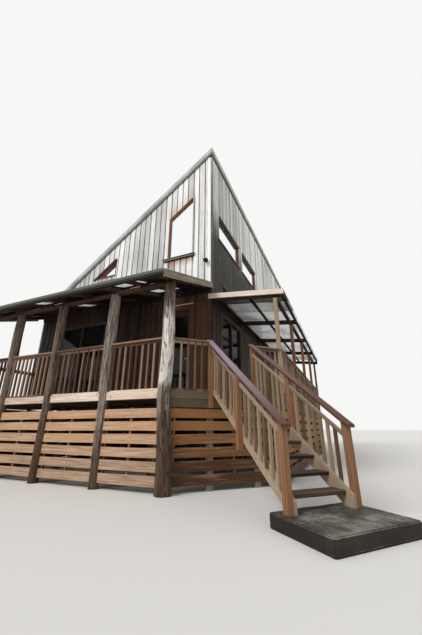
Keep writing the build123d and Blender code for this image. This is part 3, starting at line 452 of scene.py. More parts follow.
def sheet_metal(name, tint, metallic, roughness, wear_and_sunlight, underside_shade=None):
    """Coated steel: broad dull patches, fine streaks that run down and a satin sheen.

    Faces that look down take the darker colour given last, where one is given: painted shade on the undersides."""
    material, tree, surface = shader(name, Metallic=metallic, Roughness=roughness)
    world = add(tree, "TexCoord").outputs["Object"]
    cloud = add(tree, "TexNoise", {"Vector": world, "Scale": 1.4, "Detail": 5}).outputs["Fac"]
    narrow = add(tree, "Mapping", {0: world, 3: (14, 14, 1)}).outputs[0]
    runs = add(tree, "TexNoise", {"Vector": narrow, "Scale": 1, "Detail": 5}).outputs["Fac"]
    both = add(tree, "Math", {0: runs, 1: .6, 2: cloud}, operation="MULTIPLY_ADD").outputs[0]
    stain_and_shade = add(tree, "ValToRGB", {0: both}, stops=[(.55, wear_and_sunlight), (1.0, tint)]).outputs[0]
    # Downward faces darkened: painted shade.
    if underside_shade is not None:
        lift = add(tree, "SeparateXYZ", {0: add(tree, "NewGeometry").outputs["Normal"]}).outputs[2]
        amount = add(tree, "MapRange", {0: lift, 1: -.6, 2: -.2, 3: .92, 4: 0}).outputs[0]
        stain_and_shade = add(tree, "Mix", {0: amount, 6: stain_and_shade, 7: underside_shade}, data_type="RGBA").outputs[2]
    tree.links.new(stain_and_shade, surface.inputs["Base Color"])
    rough = add(tree, "MapRange", {0: both, 1: .4, 2: 1.1, 3: roughness + .18, 4: roughness - .08}).outputs[0]
    tree.links.new(rough, surface.inputs["Roughness"])
    return material


@cache
def zinc_sheet():
    """Zinc-coated corrugated steel, dulled: mid grey with a satin sheen, and painted shade on its undersides."""
    return sheet_metal("zinc_coated_steel", settings("roof").metal, .45, .48, linear("858986"), linear("2b2724"))


@cache
def edge_flashing():
    """Folded zinc flashing: paler, since it is newer."""
    return sheet_metal("folded_flashing", settings("roof").flashing, .3, .45, linear("8f928e"))


@cache
def gutter_paint():
    """Painted steel gutter: olive grey with grime at the joints."""
    return sheet_metal("painted_gutter", settings("roof").gutter, 0, .5, linear("565a50"))


@cache
def dark_steel():
    """Blackened steel of the lamp and the window covers, whose black at the heads and sills is partly painted shadow.
    """
    return sheet_metal("blackened_steel", linear("34322f"), .2, .5, linear("1e1c1a"))


@cache
def bolt_steel():
    """Galvanised bolts: pale grey with a rusty edge."""
    return sheet_metal("galvanised_bolt", linear("8e8c88"), .7, .45, linear("6a4a35"))


@cache
def satin_steel():
    """Brushed stainless steel of the door handles."""
    return sheet_metal("brushed_stainless", linear("b9b7b2"), 1, .3, linear("9a9892"))


@cache
def fibreglass():
    """Corrugated fibreglass: milky where its greying value is low, and grey and less clear where it is high."""
    material, tree, surface = shader("milky_fibreglass", Roughness=.35)
    world = add(tree, "TexCoord").outputs["Object"]
    cloud = add(tree, "TexNoise", {"Vector": world, "Scale": 1.1, "Detail": 6, "Roughness": .6}).outputs["Fac"]
    fibre = add(tree, "TexNoise", {"Vector": world, "Scale": 60, "Detail": 3}).outputs["Fac"]
    both = add(tree, "Math", {0: fibre, 1: .15, 2: cloud}, operation="MULTIPLY_ADD").outputs[0]
    tint = add(tree, "ValToRGB", {0: both}, stops=[(.42, linear("c8cac8")), (.62, linear("fdfefe"))]).outputs[0]
    greying = add(tree, "Attribute", attribute_name="shelter").outputs["Fac"]
    tint = add(tree, "Mix", {0: greying, 6: tint, 7: linear("7b7773")}, data_type="RGBA").outputs[2]
    tree.links.new(tint, surface.inputs["Base Color"])
    through = add(tree, "BsdfTranslucent", {"Color": tint}).outputs[0]
    both_ways = add(tree, "MixShader", {0: .78, 1: surface.outputs[0], 2: through}).outputs[0]
    clear = add(tree, "MapRange", {0: both, 1: .4, 2: .7, 3: .3, 4: .75}).outputs[0]
    clean = add(tree, "Math", {0: greying, 1: -1, 2: 1}, operation="MULTIPLY_ADD").outputs[0]
    clear = add(tree, "Math", {0: clear, 1: clean}, operation="MULTIPLY").outputs[0]
    sky = add(tree, "BsdfTransparent").outputs[0]
    whole = add(tree, "MixShader", {0: clear, 1: both_ways, 2: sky}).outputs[0]
    output = next(n for n in tree.nodes if n.type == "OUTPUT_MATERIAL")
    tree.links.new(whole, output.inputs["Surface"])
    return material


@cache
def sky_glass():
    """Float glass that shows only the pale sky, so it is made as a mirror."""
    material, _, surface = shader("float_glass_sky", Metallic=.95, Roughness=.04)
    surface.inputs["Base Color"].default_value = linear("fdfeff")
    return material


@cache
def room_glass():
    """Float glass in the shade of the roof: dark and clear, with a soft gloss."""
    material, _, surface = shader("float_glass_room", Roughness=.03, IOR=1.52, Alpha=.35)
    surface.inputs["Base Color"].default_value = linear("20262a")
    return material


@cache
def rough_stone():
    """Sawn bluestone: grey-brown with fine grit and pale scuffs on top, darkened overall as painted shade, its sides
    darker still as painted shade.
    """
    material, tree, surface = shader("sawn_bluestone", Roughness=.85)
    world = add(tree, "TexCoord").outputs["Object"]
    grit = add(tree, "TexNoise", {"Vector": world, "Scale": 70, "Detail": 6, "Roughness": .7}).outputs["Fac"]
    cloud = add(tree, "TexNoise", {"Vector": world, "Scale": 3.2, "Detail": 6, "Roughness": .65}).outputs["Fac"]
    both = add(tree, "Math", {0: grit, 1: .7, 2: cloud}, operation="MULTIPLY_ADD").outputs[0]
    # Ramp darkened as painted shade.
    tint = add(tree, "ValToRGB", {0: both}, stops=[(.66, linear("27231f")), (.84, linear("4a4640")),
                                                   (1, linear("857f76"))]).outputs[0]
    # Sides darker than the top: painted shade.
    lift = add(tree, "SeparateXYZ", {0: add(tree, "NewGeometry").outputs["Normal"]}).outputs[2]
    side = add(tree, "MapRange", {0: lift, 1: .2, 2: .8, 3: .93, 4: 0}).outputs[0]
    tint = add(tree, "Mix", {0: side, 6: tint, 7: linear("1e1711")}, data_type="RGBA").outputs[2]
    tree.links.new(tint, surface.inputs["Base Color"])
    bump = add(tree, "Bump", {"Height": both, "Strength": .7, "Distance": .008}).outputs[0]
    tree.links.new(bump, surface.inputs["Normal"])
    return material


class Stack:
    """Boards, poles and sheets that become one mesh, each with its own grain and shade."""

    def __init__(self, seed):
        self.points, self.faces, self.grain, self.tone, self.shelter = [], [], [], [], []
        self.random = Random(seed)

    def point(self, place, grain, tone=.5, shelter=0):
        """One point with its place in the grain, the tone of its board and its value for stains and painted shade."""
        self.points.append(place)
        self.grain.append(grain)
        self.tone.append(tone)
        self.shelter.append(shelter)

    def jump(self):
        """A new place in the grain, so that no two boards look alike."""
        return [self.random.uniform(0, 40) for _ in range(3)]

    def ring(self, centre, side, up, section, along, s, jump, tone, shelter, cut=None):
        """One cross-section of a board, moved along it where a cut asks for that."""
        for u, v in section:
            offset = side * u + up * v
            shift = -offset.dot(cut) / along.dot(cut) if cut else 0
            grain = (s + shift + jump[0], u + jump[1], v + jump[2])
            self.point(centre + offset + along * shift, grain, tone, shelter)

    def skin(self, first, rings, around):
        """Faces between rings, and the two ends."""
        for i in range(rings - 1):
            a, b = first + i * around, first + (i + 1) * around
            for k in range(around):
                n = (k + 1) % around
                self.faces.append((a + k, a + n, b + n, b + k))
        last = first + (rings - 1) * around
        self.faces.append(tuple(range(first + around - 1, first - 1, -1)))
        self.faces.append(tuple(range(last, last + around)))

    def board(self, start, end, width, thick, face, cuts=(None, None), edge=.003, bow=0., shelter=(0, 0),
              tone=None):
        """Sawn board on a centre line, its width square to face, with worn edges and a slight bow.

        The cuts are the normals of its ends, and its value for stains and painted shade is given at its start and
        end."""
        start, end = Vector(start), Vector(end)
        length = (end - start).length
        along = (end - start) / length
        up = (Vector(face) - along * along.dot(Vector(face))).normalized()
        side = up.cross(along)
        w, t, c = width / 2, thick / 2, min(edge, width / 5, thick / 5)
        section = [(w, t - c), (w - c, t), (c - w, t), (-w, t - c), (-w, c - t), (c - w, -t), (w - c, -t), (w, c - t)]
        steps = max(1, ceil(length / .5)) if bow else 1
        jump = self.jump()
        tone = self.random.random() if tone is None else tone
        turn, sway = self.random.uniform(0, 2 * pi), self.random.uniform(.3, 1)
        first = len(self.points)
        for i in range(steps + 1):
            s = i / steps
            drift = bow * sin(pi * s) * sway
            middle = start.lerp(end, s) + up * drift * cos(turn) + side * drift * sin(turn)
            cut = cuts[0] if i == 0 else cuts[1] if i == steps else None
            self.ring(middle, side, up, section, along, s * length, jump, tone,
                      shelter[0] + (shelter[1] - shelter[0]) * s, cut)
        self.skin(first, steps + 1, len(section))

    def log(self, path, radius, sides, knots, ridge, shelter, tone):
        """Log along a path of points, with knots and ridges of a given height.

        Radius is a function of the share of its length, and its value for stains and painted shade is given at shares
        along it."""
        path = [Vector(p) for p in path]
        along = (path[-1] - path[0]).normalized()
        up = (BACK if abs(along.y) < .7 else UP).cross(along).normalized()
        side = up.cross(along)
        jump = self.jump()
        total = (path[-1] - path[0]).length
        first = len(self.points)
        for centre in path:
            s = (centre - path[0]).dot(along) / total
            base, far = radius(s), s * total
            for k in range(sides):
                x, y = cos(2 * pi * k / sides), sin(2 * pi * k / sides)
                deep = noise.noise(Vector((x * 2.1, y * 2.1, far * 1.1)) + Vector(jump))
                flute = noise.noise(Vector((x * 5.5, y * 5.5, far * .7)) + Vector(jump))
                r = base + knots * (deep - .3) + ridge * min(flute, .12)
                grain = (far + jump[0], x * base + jump[1], y * base + jump[2])
                self.point(centre + side * (x * r) + up * (y * r), grain, tone, along_form(shelter, s, 1))
        self.skin(first, len(path), sides)

    def turned(self, place, way, profile, sides):
        """Turned body, from distances along its axis and radii."""
        way = Vector(way).normalized()
        up = (UP if abs(way.z) < .7 else RIGHT).cross(way).normalized()
        side = up.cross(way)
        first = len(self.points)
        for lift, radius in profile:
            section = [(cos(2 * pi * k / sides) * radius, sin(2 * pi * k / sides) * radius) for k in range(sides)]
            self.ring(Vector(place) + way * lift, side, up, section, way, 0, (0, 0, 0), .5, 0)
        self.skin(first, len(profile), sides)

    def dome(self, place, way, radius, height, sides=6):
        """Head of a bolt, nail or screw."""
        self.turned(place, way, [(0, radius), (.7 * height, .85 * radius), (height, .4 * radius)], sides)

    def piece(self, name, material, slot, body="house", replaces=(), smooth=False):
        """Makes the mesh object, gives it its finish and lets it ride on its body."""
        mesh = bpy.data.meshes.new(name)
        mesh.from_pydata(self.points, [], self.faces)
        for key, kind, field, values in (("grain", "FLOAT_VECTOR", "vector", self.grain),
                                         ("tone", "FLOAT", "value", self.tone),
                                         ("shelter", "FLOAT", "value", self.shelter)):
            flat = [c for v in values for c in v] if field == "vector" else values
            mesh.attributes.new(key, kind, "POINT").data.foreach_set(field, flat)
        if smooth:
            mesh.polygons.foreach_set("use_smooth", [True] * len(mesh.polygons))
        mesh.materials.append(material)
        piece = bpy.data.objects.new(name, mesh)
        bpy.context.scene.collection.objects.link(piece)
        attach(piece, body)
        if replaces:
            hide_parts(*replaces)
        return piece


def dress(material, *names):
    """Gives CAD nodes their finish."""
    for name in names:
        for slot in nodes[name].material_slots:
            slot.link = "OBJECT"
            slot.material = material


def roof_under(x):
    """Height of the main roof's underside."""
    return ROOF_UNDER + ROOF_SLOPE * x


def sheet_top(out):
    """Height of the verandah roof, at a distance in front of the wall."""
    return SHEET_TOP - SHEET_SLOPE * out


def lean_top(x):
    """Height of the lean-to's roof."""
    return LEAN_TOP - LEAN_SLOPE * x


def falling(way, slope):
    """Directions down a roof and square to it, and the length of its slant for each metre across."""
    slant = hypot(1, slope)
    return (way - UP * slope) / slant, (way * slope + UP) / slant, slant


def beside_stair(across, out, z):
    """Point on the line of the cut corner, measured across the stair and out from the deck."""
    along = STAIR_PLACE + across
    return Vector((POST_X + DIAGONAL * (along + out), -VERANDAH + DIAGONAL * (along - out), z))


def nosing(out):
    """Height of the line over the front edges of the treads."""
    return FLOOR - (out - HALF_EDGE - TOP_TREAD) * PITCH


def spread(length, pitch):
    """Even places between two ends, without the ends."""
    steps = max(2, round(length / pitch))
    return [length * i / steps for i in range(1, steps)]


class Wall:
    """Outer face of a wall, in distance along it and height."""

    def __init__(self, origin, run, out):
        self.origin, self.run, self.out = Vector(origin), Vector(run), Vector(out)

    def at(self, s, z, proud=0):
        """Point on the wall, or proud of it."""
        return self.origin + self.run * s + UP * z + self.out * proud

    def square_to(self, slope):
        """Normal of a cut that rises by slope along the wall."""
        return (self.run + UP * slope).cross(self.out).normalized()


FRONT = Wall((0, 0, 0), RIGHT, FORWARD)
RIGHT_SIDE = Wall((0, 0, 0), BACK, RIGHT)
LEFT_SIDE = Wall((-WIDTH, 0, 0), BACK, LEFT)
REAR = Wall((0, DEPTH, 0), RIGHT, BACK)

# Openings: two places along the wall, and the height of the foot and head at each.
SLOPED = (-1.46, -.55, (5.93, 5.93), (7.44, 8.10))
CORNER = (-4.30, -3.46, (5.83, 5.83), (5.83, 6.44))


def straight(s0, s1, z0, z1):
    """Opening with a level foot and head."""
    return (s0, s1, (z0, z0), (z1, z1))


def grown(hole, margin):
    """The same opening, larger by a margin all round. A triangle's sharp tip moves further."""
    s0, s1, foot, head = hole
    slope = (head[1] - head[0]) / (s1 - s0)
    more = margin * hypot(1, slope)
    tip = margin * (1 if head[0] - foot[0] > .05 else 2.6)
    return (s0 - tip, s1 + margin, (foot[0] - margin, foot[1] - margin),
            (head[0] + more - slope * tip, head[1] + more + slope * margin))


RIGHT_WINDOWS = [straight(.58, 2.56, 6.62, 7.525), straight(2.95, 4.78, 6.62, 7.525), straight(.75, 2.55, 4.72, 5.16)]
LEFT_WINDOWS = [straight(2.0, 3.9, 2.6, 3.4), straight(7.0, 8.9, 2.6, 3.4)]
REAR_WINDOWS = [SLOPED, straight(-2.7, -.8, 2.7, 3.9), straight(-5.6, -3.7, 2.7, 3.9)]
SCREEN, SIDE_SCREEN = straight(-5.54, -3.6, FLOOR, HEAD), straight(.75, 2.45, FLOOR, HEAD)
DOOR = straight(-1.54, -.49, FLOOR, HEAD + .09)  # with its frame


def level(hole, k, s):
    """Height of an opening's foot (2) or head (3) at a place along the wall."""
    share = (s - hole[0]) / (hole[1] - hole[0])
    return hole[k][0] + (hole[k][1] - hole[k][0]) * share


def clad(stack, wall, start, end, foot, top, holes, shelter_and_shade_by=None, gap=None):
    """Upright boards with shadow gaps, ripped and cut round the openings.

    Top gives the height that the boards reach, and shelter_and_shade_by the value for stains and painted shade at a
    board's two ends, from its place, its lowest and highest point and whether it ends under an opening."""
    c = settings("cladding")
    gap = c.board_gap if gap is None else gap
    s = start
    while s < end - .03:
        wide = min(c.board_width + stack.random.uniform(-.006, .006), end - s)
        marks = sorted({s, s + wide} | {m for h in holes for m in h[:2] if s < m < s + wide})
        for a, b in zip(marks, marks[1:]):
            lows, highs = [(foot, foot)], []
            for hole in sorted((h for h in holes if h[0] < (a + b) / 2 < h[1]), key=lambda h: h[2][0]):
                highs.append((level(hole, 2, a), level(hole, 2, b)))
                lows.append((level(hole, 3, a), level(hole, 3, b)))
            highs.append((top(a), top(b)))
            for n, (low, high) in enumerate(zip(lows, highs)):
                if b - a < .012 or min(high[0] - low[0], high[1] - low[1]) < .02:
                    continue
                under_sill = n < len(highs) - 1
                cut = [wall.square_to((ends[1] - ends[0]) / (b - a)) for ends in (low, high)]
                lift = c.board_thickness / 2 + stack.random.uniform(-.001, .001)
                ends = [wall.at((a + b) / 2, (z[0] + z[1]) / 2, lift) for z in (low, high)]
                shade = shelter_and_shade_by((a + b) / 2, ends[0].z, ends[1].z, under_sill) if shelter_and_shade_by else (0, 0)
                stack.board(*ends, b - a, c.board_thickness, wall.out, cut, bow=.002, shelter=shade)
        s += wide + gap


def corner_board(stack, wall, s, foot, top, wide=CORNER_BOARD, **more):
    """Flat upright board that covers the ends of the cladding."""
    ends = [wall.at(s, z, CORNER_THICK / 2) for z in (foot, top)]
    stack.board(*ends, wide, CORNER_THICK, wall.out, **more)


def trim(stack, wall, hole, wide, thick, proud):
    """Mitred boards round an opening: foot, right side, head and left side."""
    s0, s1, foot, head = hole
    corners = [Vector((s0, foot[0])), Vector((s1, foot[1])), Vector((s1, head[1])), Vector((s0, head[0]))]
    for i, p in enumerate(corners):
        q = corners[(i + 1) % 4]
        before, after = corners[i - 1], corners[(i + 2) % 4]
        way = (q - p).normalized()
        out = Vector((way.y, -way.x)) * wide / 2
        cuts = []
        for here, there, sign in ((p, before, 1), (q, after, -1)):
            other = (there - here).normalized()
            half = (way * sign + other).normalized()
            across = Vector((-half.y, half.x))
            cuts.append(wall.run * across.x + UP * across.y)
        ends = [wall.at(e.x, e.y, proud) for e in (p + out, q + out)]
        stack.board(*ends, wide, thick, wall.out, cuts)


def sheet_places(start, end, first=None):
    """For each sheet its place, the width that it covers, its width with the lap, and 1 where it laps over."""
    r = settings("roof")
    place, i = start, 0
    while place < end - .05:
        cover = r.cover if i or first is None else first
        yield place, cover, min(cover + r.pitch, end - place), i % 2
        place, i = place + cover, i + 1


def corrugated(stack, corner, run, fall, out, wide, length, shift, greying=0.):
    """Corrugated sheet: its ridges follow fall, and its waves run along run."""
    r = settings("roof")
    steps = max(1, round(wide / r.pitch * 8))
    tone = stack.random.random()
    first = len(stack.points)
    for s in range(steps + 1):
        u = wide * s / steps
        lift = r.depth / 2 * cos(2 * pi * (u + shift) / r.pitch)
        for v in (0, length):
            for side in (0, -SHEET_THICK):
                stack.point(corner + run * u + fall * v + out * (lift + side), (v, u, 0), tone, greying)
    for s in range(steps):
        a, b = first + 4 * s, first + 4 * (s + 1)
        stack.faces += [(a, a + 2, b + 2, b), (a + 1, b + 1, b + 3, a + 3), (a, b, b + 1, a + 1),
                        (a + 2, a + 3, b + 3, b + 2)]
    last = first + 4 * steps
    stack.faces += [(first, first + 1, first + 3, first + 2), (last, last + 2, last + 3, last + 1)]


class STILT_OT_stage(bpy.types.Operator):
    """Camera, soft light, floor and background"""
    bl_idname = "stilt.stage"
    bl_label = "Stage"

    def execute(self, context):
        s = settings("stage")
        scene = context.scene
        scene.view_settings.view_transform = "Standard"
        lens = bpy.data.cameras.new("camera")
        lens.sensor_width, lens.lens, lens.clip_end = 36, CAMERA_LENS, 500
        camera = bpy.data.objects.new("camera", lens)
        camera.location = CAMERA_PLACE
        camera.rotation_euler = (radians(90 + CAMERA_UP), 0, radians(CAMERA_TURN))
        scene.collection.objects.link(camera)
        scene.camera = camera
        sun = bpy.data.lights.new("key", "SUN")
        sun.energy, sun.angle = s.sun, radians(28)
        key = bpy.data.objects.new("key", sun)
        key.visible_glossy = False
        key.rotation_euler = KEY_WAY.to_track_quat("-Z", "Y").to_euler()
        scene.collection.objects.link(key)
        world = bpy.data.worlds.new("studio")
        scene.world = world
        world.use_nodes = True
        tree = world.node_tree
        tree.nodes.clear()
        # The world lights the house evenly, and is a pale backdrop to the camera and in glass
        path = add(tree, "LightPath").outputs
        seen = add(tree, "Math", {0: path["Is Camera Ray"], 1: path["Is Glossy Ray"]}, operation="MAXIMUM").outputs[0]
        seen = add(tree, "Math", {0: seen, 1: path["Is Transmission Ray"]}, operation="MAXIMUM").outputs[0]
        plain = add(tree, "Background", {0: grey(1), 1: s.sky}).outputs[0]
        white = add(tree, "Background", {0: linear("f7f7f6"), 1: 1}).outputs[0]
        both = add(tree, "MixShader", {0: seen, 1: plain, 2: white}).outputs[0]
        add(tree, "OutputWorld", {0: both})
        floor_material, _, surface = shader("studio_floor", Roughness=.9)
        surface.inputs["Base Color"].default_value = s.floor
        mesh, far = bpy.data.meshes.new("floor"), 150
        mesh.from_pydata([(-far, -far, 0), (far, -far, 0), (far, far, 0), (-far, far, 0)], [], [(0, 1, 2, 3)])
        mesh.materials.append(floor_material)
        floor = bpy.data.objects.new("floor", mesh)
        scene.collection.objects.link(floor)
        floor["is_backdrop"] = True
        return {"FINISHED"}


class STILT_OT_walls(bpy.types.Operator):
    """Upright boards on the four walls, silvered above and red-brown under the roofs"""
    bl_idname = "stilt.walls"
    bl_label = "Walls"

    def execute(self, context):
        right_top, left_top = ROOF_UNDER - .005, roof_under(-WIDTH) - .03
        right_gap = settings("cladding").board_gap * .45

        def room_for(*holes, margin=.006):
            """The openings with a little room round their frames."""
            return [grown(hole, margin) for hole in holes]

        def sill_stain(place, low, high, under):
            """Brown under the sills of the upper windows, and a little over the sloped one."""
            if low > 7.3 and SLOPED[0] < place < SLOPED[1]:
                return .5, -.1
            return (1.2 - (high - low) / .3, 1.2) if under and high > 5.88 else (0, .1)

        def side_darkening(place, low, high, _):
            """Nearly black under the windows and along the lean-to's first half, paler up to the roof."""
            near = max(0, .5 - .13 * place)
            if high < 6.65:
                return 1.15, .95
            # Front boards that reach the roof get darker towards their foot.
            darkening = 2.3 - 1.8 * max(0, place - 4.8)
            return (darkening, near - 1.4) if darkening > 0 and low < 5 else (near, near)

        def verandah_painted_shade(place, *_):
            """Painted shade under the verandah roof: darkest left of the screen, and bare between the door and the
            corner.
            """
            return (.35, .75) if DOOR[0] > place > -3.3 else (.7, 1) if place < DOOR[0] else (0, .2)

        front = Stack(11)
        clad(front, FRONT, -WIDTH + .1, -.1, FRONT_UPPER_FOOT, roof_under, room_for(SLOPED, CORNER), sill_stain)
        corner_board(front, FRONT, -.05, FRONT_UPPER_FOOT, roof_under(-.05) - .03)
        stop = SLOPED[1] - .021  # dark stop beside the sloped window's right jamb
        front.board(FRONT.at(stop, 5.95, .053), FRONT.at(stop, 8.06, .053), .046, .016, FORWARD, tone=.1)
        front.piece("front_boards", silvered_boards(), "silver_cladding")
        side = Stack(12)
        clad(side, RIGHT_SIDE, .13, DEPTH - .1, SIDE_UPPER_FOOT, lambda s: right_top, room_for(*RIGHT_WINDOWS),
             side_darkening, right_gap)
        for y in (.055, DEPTH - .05):
            corner_board(side, RIGHT_SIDE, y, SIDE_UPPER_FOOT, right_top, .11, shelter=(1.05, .6))
        side.piece("right_boards", shaded_boards(), "silver_cladding")
        plain = Stack(13)
        clad(plain, LEFT_SIDE, .1, DEPTH - .1, HIDDEN_FOOT, lambda s: left_top, room_for(*LEFT_WINDOWS), sill_stain)
        for y in (.05, DEPTH - .05):
            corner_board(plain, LEFT_SIDE, y, HIDDEN_FOOT, left_top)
        plain.piece("left_boards", silvered_boards(), "silver_cladding")
        rear = Stack(14)
        clad(rear, REAR, -WIDTH + .1, -.1, HIDDEN_FOOT, roof_under, room_for(*REAR_WINDOWS), sill_stain)
        for x in (-WIDTH + .05, -.05):
            corner_board(rear, REAR, x, HIDDEN_FOOT, roof_under(x) - .04)
        rear.piece("rear_boards", silvered_boards(), "silver_cladding")
        low = Stack(15)
        clad(low, FRONT, -WIDTH + .06, -.11, LOW_FOOT, lambda s: FRONT_LOW_TOP,
             [*room_for(SCREEN, margin=SCREEN_FRAME), DOOR], verandah_painted_shade)
        corner_board(low, FRONT, -.05, LOW_FOOT, FRONT_LOW_TOP)
        low.piece("front_low_boards", sheltered_shaded_boards(), "brown_cladding")
        # The low boards and corner boards under the lean-to take an even painted shade.
        low = Stack(16)
        clad(low, RIGHT_SIDE, .14, DEPTH - .11, LOW_FOOT, lambda s: SIDE_LOW_TOP,
             room_for(SIDE_SCREEN, margin=SCREEN_FRAME), lambda *_: (.4, .8))
        for y in (.06, DEPTH - .05):
            corner_board(low, RIGHT_SIDE, y, LOW_FOOT, SIDE_LOW_TOP, .11, shelter=(.4, .8))
        low.piece("right_low_boards", sheltered_shaded_boards(), "brown_cladding")
        dress(wall_backing(), "front_wall_upper", "front_wall_lower", "right_wall_upper", "right_wall_lower",
              "left_wall", "back_wall")
        return {"FINISHED"}


class STILT_OT_windows(bpy.types.Operator):
    """Window trims, head flashings, sashes and glass"""
    bl_idname = "stilt.windows"
    bl_label = "Windows"

    def execute(self, context):
        screens = ((FRONT, SCREEN), (RIGHT_SIDE, SIDE_SCREEN))
        trims = Stack(21)
        for wall, hole in screens:
            trim(trims, wall, hole, SCREEN_FRAME, .03, .015)
        trims.piece("screen_trims", joinery_boards(), "red_timber")
        head_board = Stack(26)
        self.level_board(head_board, FRONT, -1.1, DOOR[1] - .02, HEAD + .135, .034, .032, .018, tone=.3)
        head_board.piece("door_head_board", pale_beam(), "pale_timber")
        covers = Stack(22)
        for wall, holes in ((RIGHT_SIDE, RIGHT_WINDOWS), (LEFT_SIDE, LEFT_WINDOWS), (REAR, REAR_WINDOWS[1:])):
            for s0, s1, foot, head in holes:
                # Head and sill covers: real flashings, their black partly painted shadow
                self.level_board(covers, wall, s0 - .01, s1 + .01, head[0] - .016, .052, .056, .014, edge=.001)
                self.level_board(covers, wall, s0 - .09, s1 + .09, foot[0] + .008, .052, .056, .014, edge=.001)
                # Dark lining under the head: painted shadow in the reveal
                self.level_board(covers, wall, s0 + .04, s1 - .04, head[0] - .046, -.013, .062, .006, UP, edge=.001)
        s0, s1, foot, head = CORNER
        low, high = FRONT.at(s0 - .06, foot[0] - .03, .052), FRONT.at(s1, head[1] + .012, .052)
        covers.board(low, high, .075, .014, FRONT.out, edge=.001)
        # Sill of the sloped window, in two steps, with a folded flashing on it: the steps' black is painted shadow
        # under the flashing
        s0, s1, z = SLOPED[0], SLOPED[1], SLOPED[2][0]
        self.level_board(covers, FRONT, s0 - .14, s1 + .05, z - .012, .05, .1, .026, UP, edge=.002)
        self.level_board(covers, FRONT, s0 - .1, s1 + .01, z - .068, .03, .05, .03, UP, edge=.002)
        covers.piece("window_covers", dark_steel(), "dark_metal")
        sill = Stack(23)
        self.level_board(sill, FRONT, s0 - .12, s1 + .03, z + .006, .052, .104, .008, (0, -.1, 1), edge=.001)
        self.level_board(sill, FRONT, s0 - .11, s1 + .02, z - .041, .078, .03, .008, (0, -1, .1), edge=.001)
        sill.piece("sill_flashing", edge_flashing(), "flashing")
        panes = Stack(24)
        for wall, holes in ((FRONT, [SLOPED, CORNER]), (RIGHT_SIDE, RIGHT_WINDOWS), (LEFT_SIDE, LEFT_WINDOWS),
                            (REAR, REAR_WINDOWS)):
            for hole in holes:
                self.pane(panes, wall, grown(hole, -.038))
        panes.piece("upper_panes", sky_glass(), "glass", replaces=["window_glass"])
        low = Stack(25)
        for wall, (s0, s1, foot, head) in screens:
            half = (s0 + s1) / 2
            for a, b in ((s0 + SCREEN_FRAME, half - SCREEN_FRAME / 2), (half + SCREEN_FRAME / 2, s1 - SCREEN_FRAME)):
                self.pane(low, wall, straight(a, b, foot[0] + SCREEN_FRAME, head[0] - SCREEN_FRAME))
        low.piece("low_panes", room_glass(), "glass")
        dress(joinery(), "window_frames")
        dress(shaded_joinery(), "glazed_screens", "door_frame", "door_leaf")
        dress(room_glass(), "door_glass")
        dress(satin_steel(), "door_handles")
        return {"FINISHED"}

    @staticmethod
    def level_board(stack, wall, s0, s1, z, proud, wide, thick, face=None, **more):
        """Board that runs level along a wall."""
        stack.board(wall.at(s0, z, proud), wall.at(s1, z, proud), wide, thick, face or wall.out, **more)

    @staticmethod
    def pane(stack, wall, hole):
        """Sheet of glass in the plane of the frames."""
        s0, s1, foot, head = hole
        f = len(stack.points)
        for depth in (-GLASS_IN - GLASS_THICK / 2, -GLASS_IN + GLASS_THICK / 2):
            for s, z in ((s0, foot[0]), (s1, foot[1]), (s1, head[1]), (s0, max(head[0], foot[0] + .002))):
                stack.point(wall.at(s, z, depth), (z, s, 0))
        stack.faces += [(f + 3, f + 2, f + 1, f), (f + 4, f + 5, f + 6, f + 7)]
        stack.faces += [(f + i, f + (i + 1) % 4, f + 4 + (i + 1) % 4, f + 4 + i) for i in range(4)]


class STILT_OT_roofs(bpy.types.Operator):
    """Corrugated sheets of the main roof, the verandah and the lean-to, with their flashings and gutters"""
    bl_idname = "stilt.roofs"
    bl_label = "Roofs"

    def execute(self, context):
        r = settings("roof")
        fall, out, slant = falling(LEFT, ROOF_SLOPE)
        main = Stack(31)
        top = roof_under(OVERHANG) + ROOF_THICK
        length = (WIDTH + 2 * OVERHANG) * slant + .03
        for y, _, wide, over in sheet_places(-OVERHANG, DEPTH + OVERHANG):
            start = Vector((OVERHANG, y, top)) + out * (r.depth / 2 + .001 + SHEET_LAP * over)
            corrugated(main, start, BACK, fall, out, wide, length, y)
        main.piece("main_roof_sheets", zinc_sheet(), "grey_roof", smooth=True)
        fall, out, slant = falling(FORWARD, SHEET_SLOPE)
        steel, plastic = Stack(32), Stack(33)
        for x, cover, wide, over in sheet_places(ROOF_LEFT, ROOF_RIGHT, r.cover - .28):
            clear = any(a < x + cover / 2 < b for a, b in CLEAR_SHEETS)
            start = Vector((x, -APRON, sheet_top(APRON))) - out * (SHEET_SINK - SHEET_LAP * over)
            length = (EAVE + .02 - APRON) * slant + steel.random.uniform(-.004, .006)
            corrugated(plastic if clear else steel, start, RIGHT, fall, out, wide, length, x, greying=.35)
        steel.piece("verandah_sheets", zinc_sheet(), "grey_roof", replaces=["verandah_roof"], smooth=True)
        fall, out, slant = falling(RIGHT, LEAN_SLOPE)
        milky = Stack(34)
        for y, _, wide, over in sheet_places(0, SIDE_LENGTH):
            start = Vector((.02, y, lean_top(.02))) - out * (SHEET_SINK - SHEET_LAP * over)
            # Greyer and less clear over the front two metres of the lean-to.
            corrugated(milky, start, BACK, fall, out, wide, (LEAN_REACH - .02) * slant, y,
                       greying=max(.1, .95 - y / 2.2))
        milky.piece("lean_to_sheets", fibreglass(), "milky_sheet", replaces=["lean_to_roof"], smooth=True)
        plastic.piece("clear_sheets", fibreglass(), "milky_sheet", smooth=True)
        dress(edge_flashing(), "roof_flashings")
        dress(gutter_paint(), "gutters")
        dress(zinc_sheet(), "main_roof")
        dress(frame_timber("X"), "roof_battens", "wall_ledgers")
        return {"FINISHED"}


